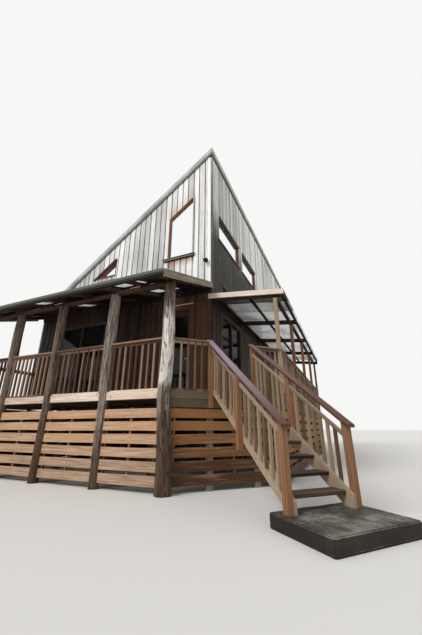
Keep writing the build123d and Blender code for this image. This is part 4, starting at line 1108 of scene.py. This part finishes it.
# Forms of the posts from foot to head: share of the height, share of the radius, and how far the middle is to the
# right. The tables after them give each post's value for stains and painted shade at shares of the height: wet stains
# at the feet, and painted shade at the corner post's head under the gutter and along the posts under the verandah
# roof.
CORNER_FORM = [(0, 1.12, .066), (.13, 1.1, .062), (.27, 1.02, .022), (.41, .93, -.02), (.52, .99, .014),
               (.7, .92, .022), (1, .86, 0)]
THICK_FORM = [(0, .92, -.015), (.2, .92, -.012), (.46, .95, -.033), (.57, 1.1, -.03), (.67, 1.16, -.03),
              (.86, 1.16, -.008), (.94, 1.14, -.006), (1, .98, -.008)]
PLAIN_FORM = [(0, 1.02, -.015), (.25, .98, -.015), (.5, .93, -.005), (.67, 1.02, -.008), (.86, 1.04, -.026),
              (1, 1, -.022)]
CORNER_STAIN_AND_SHADE = [(0, 1.3), (.3, .95), (.45, .75), (.53, -1), (.74, -1), (.82, .5), (.9, .85), (1, 1)]
THICK_STAIN_AND_SHADE = [(0, .9), (.46, .45), (.6, .55), (1, .25)]
PLAIN_STAIN_AND_SHADE = [(0, 1), (.5, .6), (1, .7)]


def along_form(form, s, k):
    """Value k of a log's form at a share of its length, eased between its places."""
    for a, b in zip(form, form[1:]):
        if s <= b[0]:
            t = (s - a[0]) / (b[0] - a[0])
            t = t * t * (3 - 2 * t) * .6 + t * .4
            return a[k] + (b[k] - a[k]) * t
    return form[-1][k]


class STILT_OT_logs(bpy.types.Operator):
    """Log posts, the plate on them and the peeled rafters"""
    bl_idname = "stilt.logs"
    bl_label = "Logs"

    def execute(self, context):
        rings = 90
        forms = [(CORNER_FORM, CORNER_STAIN_AND_SHADE), (THICK_FORM, THICK_STAIN_AND_SHADE)] + [(PLAIN_FORM, PLAIN_STAIN_AND_SHADE)] * 3
        for n, (x, (form, stain_and_shade)) in enumerate(zip(POSTS, forms)):
            stack, radius = Stack(40 + n), .10725 if n else .1365
            path = [(x + along_form(form, k / rings, 2), -VERANDAH, POST_TOP * k / rings) for k in range(rings + 1)]
            # The corner post stands in the sun and the others in the verandah's shade: its high tone and their low
            # one are painted light and shade.
            stack.log(path, lambda s, r=radius, f=form: r * along_form(f, s, 1), 44,
                      .014 if n else .02, .01 if n else .014, shelter=stain_and_shade, tone=.35 if n else .9)
            stands_for = (["corner_post"], ["verandah_posts"])[n] if n < 2 else []
            stack.piece(f"verandah_log_{n}" if n else "corner_log", debarked_log(), "log", replaces=stands_for,
                        smooth=True)
        poles = Stack(50)
        left, right = DECK_LEFT - .11, POST_X + .11
        path = [(left + (right - left) * k / 120, -VERANDAH, POST_TOP + .037) for k in range(121)]
        # The plate's dark brown and low tone are painted shade under the sheets.
        poles.log(path, lambda s: PLATE_RADIUS, 24, .006, .005, shelter=[(0, 1)], tone=.2)
        _, out, _ = falling(FORWARD, SHEET_SLOPE)
        under_battens = .052 + .043  # the batten's and half the rafter's depth under the sheets' top
        for x in list(POSTS) + [(a + b) / 2 for a, b in zip(POSTS, POSTS[1:])]:
            path = []
            for k in range(25):
                reach = .05 + (EAVE - .09) * k / 24
                path.append(Vector((x, -reach, sheet_top(reach))) - out * under_battens)
            # The rafters' dark brown and low tone are painted shade under the sheets.
            poles.log(path, lambda s: RAFTER_RADIUS, 20, .004, .003, shelter=[(0, 1.4)], tone=.1)
        poles.piece("peeled_poles", debarked_log(), "log", replaces=["plate_log", "verandah_rafters"], smooth=True)
        return {"FINISHED"}


class STILT_OT_decks(bpy.types.Operator):
    """Decking, rims and edge boards of the verandah and the side deck"""
    bl_idname = "stilt.decks"
    bl_label = "Decks"

    def execute(self, context):
        wide, middle = DECK_BOARD, FLOOR - DECK_THICK / 2
        front = Stack(61)
        y = -.004 - wide / 2
        while y > -VERANDAH - HALF_EDGE:
            low = max(y - wide / 2, -VERANDAH - HALF_EDGE)
            centre, across = (y + wide / 2 + low) / 2, y + wide / 2 - low
            end = SIDE + HALF_EDGE / DIAGONAL + centre
            joint = front.random.choice((-2.1, -3.7, -4.9))
            for a, b, cuts in ((DECK_LEFT, joint - .001, (None, None)), (joint + .001, end, (None, CORNER_OUT))):
                front.board((a, centre, middle), (b, centre, middle), across, DECK_THICK, UP, cuts, bow=.0008)
            y -= wide + DECK_GAP
        front.piece("verandah_boards", deck_timber(), "deck_timber", replaces=["verandah_deck"])
        side = Stack(62)
        x = wide / 2
        while x < SIDE + HALF_EDGE:
            high = min(x + wide / 2, SIDE + HALF_EDGE)
            centre, across = (x - wide / 2 + high) / 2, high - x + wide / 2
            joint = side.random.choice((2.3, 4.6, 6.9))
            for a, b in ((0, joint - .001), (joint + .001, SIDE_LENGTH)):
                side.board((centre, a, middle), (centre, b, middle), across, DECK_THICK, UP, bow=.0008)
            x += wide + DECK_GAP
        side.piece("side_boards", deck_timber(), "deck_timber", replaces=["side_deck"])
        rims, bolts = Stack(63), Stack(64)
        outer, z = -VERANDAH - HALF_EDGE, FLOOR - RIM_DEEP / 2
        for i, (x1, x0) in enumerate(zip(POSTS, POSTS[1:])):
            y = outer + RIM_THICK / 2
            rims.board((x0, y, z), (x1, y, z), RIM_DEEP, RIM_THICK, FORWARD, edge=.006, bow=.003)
            for x in (x0 + .19, x1 - .19):
                bolts.dome((x, outer, z - .035 + .07 * (i % 2)), FORWARD, .014, .009)
        x = DECK_LEFT - RIM_THICK / 2
        rims.board((x, -VERANDAH, z), (x, 0, z), RIM_DEEP, RIM_THICK, LEFT, edge=.006)
        rims.piece("rim_beams", pale_beam(), "pale_timber", replaces=["verandah_rims"])
        edges = Stack(65)
        start, corner, end = beside_stair(-STAIR_PLACE, 0, 0), Vector((SIDE, 0, 0)), Vector((SIDE, SIDE_LENGTH, 0))
        for k in range(2):
            z = UP * (FLOOR - DECK_THICK - EDGE_DEEP / 2 - k * (EDGE_DEEP + .005))
            # Stain on both edge boards, heavier on the lower one: painted shade.
            more = {"bow": .002, "shelter": (.8 + .2 * k, .8 + .2 * k)}
            edges.board(start + z, corner + z, EDGE_DEEP, EDGE_THICK, CORNER_OUT, (None, BACK), **more)
            edges.board(corner + z, end + z, EDGE_DEEP, EDGE_THICK, RIGHT, **more)
        edges.piece("edge_boards", olive_board(), "olive_timber", replaces=["deck_edge_boards"])
        for s in (.4, 1.1, 1.9, 2.4):
            for z in (1.72, 1.64, 1.56, 1.48):
                bolts.dome(beside_stair(s - STAIR_PLACE, HALF_EDGE, z), CORNER_OUT, .007, .004)
        bolts.piece("deck_bolts", bolt_steel(), "dark_metal", smooth=True)
        dress(under_timber("Y"), "floor_bearers")
        dress(under_timber("X"), "floor_joists", "house_floor", "upper_floor")
        dress(stump_timber(), "stumps")
        return {"FINISHED"}


def rail_panel(stack, start, end, clear=(0, 0)):
    """Flat rail, under-rail and square balusters between two plan points, with none in the clear lengths."""
    a, b = Vector((*start, 0)), Vector((*end, 0))
    run = (b - a).normalized()
    side = Vector((run.y, -run.x, 0))
    rail = UP * (RAIL - RAIL_THICK / 2)
    stack.board(a + rail, b + rail, RAIL_WIDE, RAIL_THICK, UP, edge=.008, bow=.003)
    under = UP * (RAIL - RAIL_THICK - UNDER_RAIL / 2)
    stack.board(a + under, b + under, UNDER_RAIL, BALUSTER, side, edge=.004, bow=.002)
    for s in spread((b - a).length, BALUSTER_STEP):
        if clear[0] <= s <= (b - a).length - clear[1]:
            p = a + run * (s + stack.random.uniform(-.002, .002))
            top = p + UP * (RAIL - RAIL_THICK - .002)
            stack.board(p + UP * FLOOR, top, BALUSTER, BALUSTER, side, edge=.004, bow=.0015)


class STILT_OT_balustrades(bpy.types.Operator):
    """Rails and balusters of the decks"""
    bl_idname = "stilt.balustrades"
    bl_label = "Balustrades"

    def execute(self, context):
        y, log_room = -VERANDAH, .13
        front = Stack(71)
        for x1, x0 in zip(POSTS, POSTS[1:]):
            rail_panel(front, (x0, y), (x1, y), (log_room, log_room))
        rail_panel(front, (DECK_LEFT, y), (DECK_LEFT, 0), (log_room, 0))
        front.piece("front_rails", shaded_rail(), "rail_timber", replaces=["front_balustrade"])
        corner = Stack(72)
        near, far = (beside_stair(side * (STAIR_WIDE + NEWEL) / 2, 0, 0)[:2] for side in (-1, 1))
        rail_panel(corner, (POST_X, y), near, (.15, 0))
        rail_panel(corner, far, (SIDE, 0))
        corner.piece("corner_rails", rail_timber(), "rail_timber", replaces=["corner_balustrade"])
        side, half = Stack(73), LEAN_POST / 2
        for i in range(LEAN_BAYS):
            rail_panel(side, (SIDE, i * LEAN_STEP + half), (SIDE, (i + 1) * LEAN_STEP - half))
        end = LEAN_BAYS * LEAN_STEP
        rail_panel(side, (0, end), (SIDE - half, end))
        side.piece("side_rails", rail_timber(), "rail_timber", replaces=["side_balustrade"])
        return {"FINISHED"}


def slats(stack, nails, start, end, cleats, cleat_top=CLEAT_TOP, ends=(0, 0), wear_and_sunlight=.1, shade_backed=False):
    """Slats with gaps, nailed to cleats at places along them, the lower ones darker. Their backs are on the line
    from start to end, and the ends stop short of it.

    Skirts given dark boards have one behind each gap, over the top slat and under the lowest: painted shade that
    stands in for the dark space under the house."""
    a, b = Vector(start), Vector(end)
    run = (b - a).normalized()
    side = Vector((-run.y, run.x, 0))
    for i in range(SLATS):
        centre = UP * (SLAT_TOP - SLAT_STEP * i - SLAT_DEEP / 2) - side * SLAT_THICK / 2
        low, high = a + run * ends[0] + centre, b - run * ends[1] + centre
        tilt = UP * stack.random.uniform(-.004, .004)
        tone = .95 - .17 * i + stack.random.uniform(-.12, .12)
        # Paler by their value: faded streaks, and on the front skirts painted sunlight.
        stack.board(low + tilt, high - tilt, SLAT_DEEP + stack.random.uniform(-.006, .004), SLAT_THICK, -side,
                    bow=.005, shelter=(wear_and_sunlight, wear_and_sunlight), tone=tone)
        for s in cleats:
            for lift in (-.045, .045):
                nails.dome(a + run * s + centre - side * .0122 + UP * lift, -side, .005, .003)
        # Dark boards behind the gaps: painted shade.
        if shade_backed:
            backs = [(.115, .08) if i else (.17, .165)] + [(-.14, .11)] * (i == SLATS - 1)
            for lift, wide in backs:
                lift = UP * lift + side * .018
                stack.board(low + lift, high + lift, wide, .01, -side, edge=.001, tone=0)
    for s in cleats:
        p = a + run * s + side * CLEAT / 2
        stack.board(p + UP * .11, p + UP * cleat_top, CLEAT, CLEAT, -side)


class STILT_OT_skirts(bpy.types.Operator):
    """Slatted skirts round the space under the decks"""
    bl_idname = "stilt.skirts"
    bl_label = "Skirts"

    def execute(self, context):
        y, left, nails = -VERANDAH, DECK_LEFT, Stack(80)
        front = Stack(81)
        for x1, x0 in zip(POSTS, POSTS[1:]):
            wide = x1 - x0
            # The front skirts' high value makes them paler: painted sunlight.
            slats(front, nails, (x0, y, 0), (x1, y, 0), (.155, wide / 2, wide - .155), ends=(.08, .08), wear_and_sunlight=.65)
        slats(front, nails, (left, -.051, 0), (left, y, 0), (.0225, 1.66), shade_backed=True)
        front.piece("front_slats", slat_timber(), "slat_timber", replaces=["front_skirt"])
        corner, wide = Stack(82), VERANDAH / DIAGONAL
        a, b = (beside_stair(across - STAIR_PLACE, -HALF_EDGE, 0) for across in (0, wide))
        slats(corner, nails, a, b, (.22, STAIR_PLACE, wide - .09), ends=(.1, .02))
        corner.piece("corner_slats", slat_timber(), "slat_timber", replaces=["corner_skirt"])
        side, x, step = Stack(83), SIDE - HALF_EDGE, SIDE_LENGTH / LEAN_BAYS
        slats(side, nails, (x, 0, 0), (x, SIDE_LENGTH, 0), [step * (i + .5) for i in range(LEAN_BAYS)])
        slats(side, nails, (x - .001, SIDE_LENGTH, 0), (0, SIDE_LENGTH, 0), (.2, x - .045), 1.61, shade_backed=True)
        # Under the house's left, rear and right sides, 50 mm out from its stumps
        out = .05
        left, right, rear = -WIDTH - out, out, DEPTH + out
        rows = [out + (DEPTH - 2 * out) * (i + .5) / 4 for i in range(4)]
        slats(side, nails, (left, rear - .001, 0), (left, -out, 0), [rear - y for y in rows], shade_backed=True)
        columns = [out + (WIDTH - 2 * out) * (i + .5) / 4 for i in range(4)]
        corner = right + SLAT_THICK
        slats(side, nails, (corner, rear, 0), (left - SLAT_THICK, rear, 0), [corner + x for x in columns],
              shade_backed=True)
        start = SIDE_LENGTH + SLAT_THICK + .001
        slats(side, nails, (right, start, 0), (right, rear - .001, 0), [(rear - start) / 2], shade_backed=True)
        side.piece("side_slats", slat_timber(), "slat_timber", replaces=["side_skirt"])
        nails.piece("slat_nails", bolt_steel(), "dark_metal", smooth=True)
        return {"FINISHED"}


def plate(stack, points, way, thick, grain, tone):
    """Flat board of any outline, with its grain along a direction."""
    across, jump = way.cross(grain), stack.jump()
    first, count = len(stack.points), len(points)
    for lift in (-thick / 2, thick / 2):
        for p in points:
            q = p + way * lift
            stack.point(q, (q.dot(grain) + jump[0], q.dot(across) + jump[1], lift + jump[2]), tone, .1)
    spokes = [p - points[0] for p in points[1:]]
    turns = sum(p.cross(q).dot(way) for p, q in zip(spokes, spokes[1:]))
    low, high = [first + i for i in range(count)], [first + count + i for i in range(count)]
    if turns < 0:
        low, high = low[::-1], high[::-1]
    stack.faces += [tuple(low[::-1]), tuple(high)]
    stack.faces += [(low[i], low[(i + 1) % count], high[(i + 1) % count], high[i]) for i in range(count)]


class STILT_OT_stair(bpy.types.Operator):
    """Closed-string stair with its newels, rails and stone slab"""
    bl_idname = "stilt.stair"
    bl_label = "Stair"

    def execute(self, context):
        slope = Vector((DIAGONAL, -DIAGONAL, -PITCH)).normalized()
        square = Vector((DIAGONAL * PITCH, -DIAGONAL * PITCH, 1)).normalized()
        over, out = Vector((DIAGONAL, DIAGONAL, 0)), Vector((DIAGONAL, -DIAGONAL, 0))
        slant = hypot(1, PITCH)
        strings, bolts, steps, rails, hands = Stack(91), Stack(92), Stack(93), Stack(94), Stack(95)

        def reach(z):
            """How far out the line of the nosings comes to a height."""
            return HALF_EDGE + TOP_TREAD + (FLOOR - z) / PITCH

        shape = [(HALF_EDGE, FLOOR), (reach(FLOOR - STRING_ABOVE), FLOOR),
                 (STRING_END, nosing(STRING_END) + STRING_ABOVE), (STRING_END, SLAB),
                 (reach(SLAB + STRING_BELOW), SLAB), (HALF_EDGE, nosing(HALF_EDGE) - STRING_BELOW)]
        for sign in (-1, 1):
            line = [beside_stair(sign * STRING_ACROSS, o, z) for o, z in shape]
            plate(strings, line, over * sign, STRING, slope, 1.1)
            outer = sign * (STRING_ACROSS + STRING / 2)
            for i in range(1, RISERS):
                o = HALF_EDGE + TOP_TREAD + i * GOING - .12
                for shift in (-.05, .05):
                    bolts.dome(beside_stair(outer, o + shift, FLOOR - i * RISE - .022), over * sign, .008, .005)
        strings.piece("stair_strings", string_timber(), "rail_timber", replaces=["stair_stringers"])
        inner = STRING_ACROSS - STRING / 2
        for i in range(RISERS):
            front, z = HALF_EDGE + TOP_TREAD + i * GOING, FLOOR - i * RISE - TREAD_THICK / 2
            wide = (TREAD if i else TOP_TREAD) / 2 - .002
            for k in range(2):
                o = front - wide / 2 - k * (wide + .004)
                steps.board(beside_stair(-inner, o, z), beside_stair(inner, o, z), wide, TREAD_THICK, UP, edge=.006,
                            bow=.001)
        steps.piece("stair_boards", tread_timber(), "deck_timber", replaces=["stair_treads"])
        rail_drop = RAIL_THICK * slant
        for sign in (-1, 1):
            for o, foot in zip(NEWELS_OUT, (CLEAT_TOP, nosing(NEWELS_OUT[1]) - .33, SLAB)):
                ends = [beside_stair(sign * STAIR_WIDE / 2, o, z) for z in (foot, nosing(o) + HANDRAIL - rail_drop)]
                rails.board(*ends, NEWEL, NEWEL, out, (None, square), edge=.006, tone=.4, shelter=(.6, .45))
            mid = nosing(0) + HANDRAIL - rail_drop / 2
            ends = [beside_stair(sign * STAIR_WIDE / 2, o, mid - PITCH * o) for o in (-.07, 2.51)]
            hands.board(*ends, RAIL_WIDE, RAIL_THICK, square, (out, out), edge=.008, bow=.002,
                        shelter=(.6, 1.1) if sign > 0 else (-.6, 1), tone=.5)
            mid = nosing(0) + HANDRAIL - UNDER_RAIL_DROP - UNDER_RAIL / 2
            across = sign * (STAIR_WIDE / 2 - .024)  # the balusters' inner faces are flush with the newels'
            for a, b in zip(NEWELS_OUT, NEWELS_OUT[1:]):
                a, b = a + NEWEL / 2, b - NEWEL / 2
                ends = [beside_stair(across, o, mid - PITCH * o) for o in (a, b)]
                rails.board(*ends, UNDER_RAIL / slant, BALUSTER, over * sign, (out, out), edge=.004)
                for o in (a + s for s in spread(b - a, BALUSTER_STEP)):
                    low = max(nosing(o) - STRING_ABOVE, SLAB + .06)
                    ends = [beside_stair(across, o, z) for z in (low, nosing(o) + .675)]
                    rails.board(*ends, BALUSTER, BALUSTER, over * sign, (None, square), edge=.004, bow=.001)
                    bolts.dome(beside_stair(across + sign * BALUSTER / 2, o, nosing(o) + .004), over * sign, .006,
                               .004)
        rails.piece("stair_rails", rail_timber(), "rail_timber", replaces=["stair_newels", "stair_balusters"])
        hands.piece("stair_handrail_boards", handrail_timber(), "rail_timber", replaces=["stair_handrails"])
        bolts.piece("stair_bolts", bolt_steel(), "dark_metal", smooth=True)
        self.stone()
        return {"FINISHED"}

    @staticmethod
    def stone():
        """Sawn stone with worn edges and a slightly uneven face."""
        mesh = bpy.data.meshes.new("stone_slab")
        work = bmesh.new()
        bmesh.ops.create_cube(work, size=1)
        bmesh.ops.scale(work, vec=(SLAB_DEEP, SLAB_WIDE, SLAB), verts=work.verts)
        bmesh.ops.bevel(work, geom=work.edges[:], offset=.014, segments=3, affect="EDGES")
        bmesh.ops.subdivide_edges(work, edges=[e for e in work.edges if e.calc_length() > .1], cuts=24,
                                  use_grid_fill=True)
        # The grids' faces come in any order, so they are sorted to make the same mesh each time
        work.verts.index_update()
        work.faces.sort(key=lambda face: face.verts[0].index * len(work.verts) + face.verts[2].index)
        for v in work.verts:
            if v.co.z > -.06:
                rough = noise.fractal(v.co * 6, 1, 2, 5)
                v.co -= v.normal * (.0035 + .003 * rough)
        turn = Matrix.Translation(beside_stair(.04, 2.65, SLAB / 2)) @ Matrix.Rotation(radians(-41), 4, "Z")
        bmesh.ops.transform(work, matrix=turn, verts=work.verts)
        for face in work.faces:
            face.smooth = True
        work.to_mesh(mesh)
        work.free()
        mesh.materials.append(rough_stone())
        slab = bpy.data.objects.new("stone_slab", mesh)
        bpy.context.scene.collection.objects.link(slab)
        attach(slab, "house")
        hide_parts("stair_slab")


class STILT_OT_frames(bpy.types.Operator):
    """Fascia, barges and the timber frame of the lean-to"""
    bl_idname = "stilt.frames"
    bl_label = "Roof frames"

    def execute(self, context):
        fascia = Stack(101)
        slant = hypot(1, SHEET_SLOPE)
        y, z = -EAVE + FASCIA_THICK / 2, sheet_top(EAVE) - .052 * slant - .001 - FASCIA_DEEP / 2
        fascia.board((ROOF_LEFT, y, z), (ROOF_RIGHT, y, z), FASCIA_DEEP, FASCIA_THICK, FORWARD, bow=.002)
        fascia.piece("fascia", shaded_fascia(), "olive_timber", replaces=["verandah_fascia"])
        barge = Stack(102)
        for x, side in ((ROOF_LEFT - BARGE_THICK / 2, LEFT), (ROOF_RIGHT + BARGE_THICK / 2, RIGHT)):
            ends = [Vector((x, -o, sheet_top(o) - BARGE_DEEP / 2)) for o in (EAVE, APRON)]
            barge.board(*ends, BARGE_DEEP / slant, BARGE_THICK, side, (BACK, BACK), edge=.005, bow=.002)
        barge.piece("verandah_barges", olive_board(), "olive_timber", replaces=["barge_boards"])

        def under_sheets(stack, y, deep, thick, ends=(-.07, LEAN_REACH), drop=0, plumb=True, **more):
            """Board along the slope of the lean-to, with its top at a drop under the sheets' top. Its depth is
            plumb, or else square to the slope."""
            ends = [Vector((x, y, lean_top(x) - drop - deep / 2)) for x in ends]
            wide = deep / hypot(1, LEAN_SLOPE) if plumb else deep
            stack.board(*ends, wide, thick, FORWARD, (RIGHT, RIGHT), **more)

        pale = Stack(103)
        under_sheets(pale, -.027, .142, .036, edge=.004, tone=.9)
        pale.piece("lean_to_barge", pale_beam(), "pale_timber")
        posts = Stack(104)
        for i in range(LEAN_BAYS + 1):
            ends = [(SIDE, i * LEAN_STEP, z) for z in (FLOOR, LEAN_POST_TOP)]
            # The front post stands in the sun and the rest under the lean-to: its high tone and their darker colour
            # are painted light and shade.
            posts.board(*ends, LEAN_POST, LEAN_POST, FORWARD, edge=.005, tone=.4 if i else 1.2,
                        shelter=(.5, .5) if i else (0, 0))
        posts.piece("lean_to_uprights", rail_timber(), "rail_timber", replaces=["lean_to_posts"])
        beams = Stack(105)
        # Thin dark board just behind the barge and deeper than it: painted shadow under the barge
        under_sheets(beams, -.0045, .165, .009, edge=.002)
        z, half = LEAN_POST_TOP + LEAN_BEAM / 2, LEAN_RAFTER_THICK / 2
        beams.board((SIDE, 0, z), (SIDE, SIDE_LENGTH, z), LEAN_BEAM, LEAN_POST, RIGHT, edge=.004, bow=.002)
        for i in range(LEAN_BAYS + 1):
            y = min(max(i * LEAN_STEP, half), SIDE_LENGTH - half)
            under_sheets(beams, y, LEAN_RAFTER, LEAN_RAFTER_THICK, (.046, 1.9), LEAN_RAFTER_DROP, plumb=False)
        beams.piece("lean_to_frame", frame_timber(), "rail_timber", replaces=["lean_to_beam", "lean_to_rafters"])
        self.lamp()
        return {"FINISHED"}

    @staticmethod
    def lamp():
        """Flood lamp on the front wall: a pale flared shade on an arm, with a dark lens deep in its mouth whose black
        is partly painted shade.
        """
        x, z = -.095, 5.56
        centre, way = Vector((x, -.13, z)), Vector((0, -.643, -.766))
        body, shade = Stack(106), Stack(107)
        body.board((x, -.01, z - .055), (x, -.01, z + .055), .11, .02, FORWARD, edge=.004)
        body.turned((x, -.02, z), FORWARD, [(0, .018), (.01, .011), (.085, .011)], 12)
        body.turned(centre, way, [(.03, .067), (.036, .067), (.046, .045), (.05, .02)], 24)
        body.piece("lamp_body", dark_steel(), "dark_metal", replaces=["wall_lamp"])
        shade.turned(centre, way, [(-.0625, .018), (-.061, .034), (-.054, .044), (0, .063), (.06, .0815),
                                   (.0625, .0825), (.0625, .078), (0, .058), (-.045, .036)], 32)
        shade.piece("lamp_shade", edge_flashing(), "flashing", smooth=True)


class STILT_PT_house(bpy.types.Panel):
    """Settings and makers of the stilt house"""
    bl_label = "Stilt house"
    bl_space_type = "VIEW_3D"
    bl_region_type = "UI"
    bl_category = "Stilt house"

    def draw(self, context):
        for name, kind in SETTINGS.items():
            box = self.layout.box()
            box.label(text=name.capitalize())
            for key in kind.__annotations__:
                box.prop(settings(name), key)
        for cls in OPERATORS:
            self.layout.operator(cls.bl_idname)


SETTINGS = {"cladding": CladdingSettings, "timber": TimberSettings, "roof": RoofSettings, "stage": StageSettings}
OPERATORS = (STILT_OT_stage, STILT_OT_walls, STILT_OT_windows, STILT_OT_roofs, STILT_OT_logs, STILT_OT_decks,
             STILT_OT_balustrades, STILT_OT_skirts, STILT_OT_stair, STILT_OT_frames)


def register():
    for name, kind in SETTINGS.items():
        bpy.utils.register_class(kind)
        setattr(bpy.types.Scene, "stilt_" + name, PointerProperty(type=kind))
    for cls in OPERATORS + (STILT_PT_house,):
        bpy.utils.register_class(cls)


def unregister():
    for cls in (STILT_PT_house,) + OPERATORS[::-1]:
        bpy.utils.unregister_class(cls)
    for name, kind in SETTINGS.items():
        delattr(bpy.types.Scene, "stilt_" + name)
        bpy.utils.unregister_class(kind)


def main():
    register()
    for cls in OPERATORS:
        getattr(bpy.ops.stilt, cls.bl_idname.split(".")[1])()
    boxes = {"cad": cad_box, "visual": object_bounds()}
    {k: [list(p) for p in v] for k, v in boxes.items()}


if __name__ == "__main__":
    main()
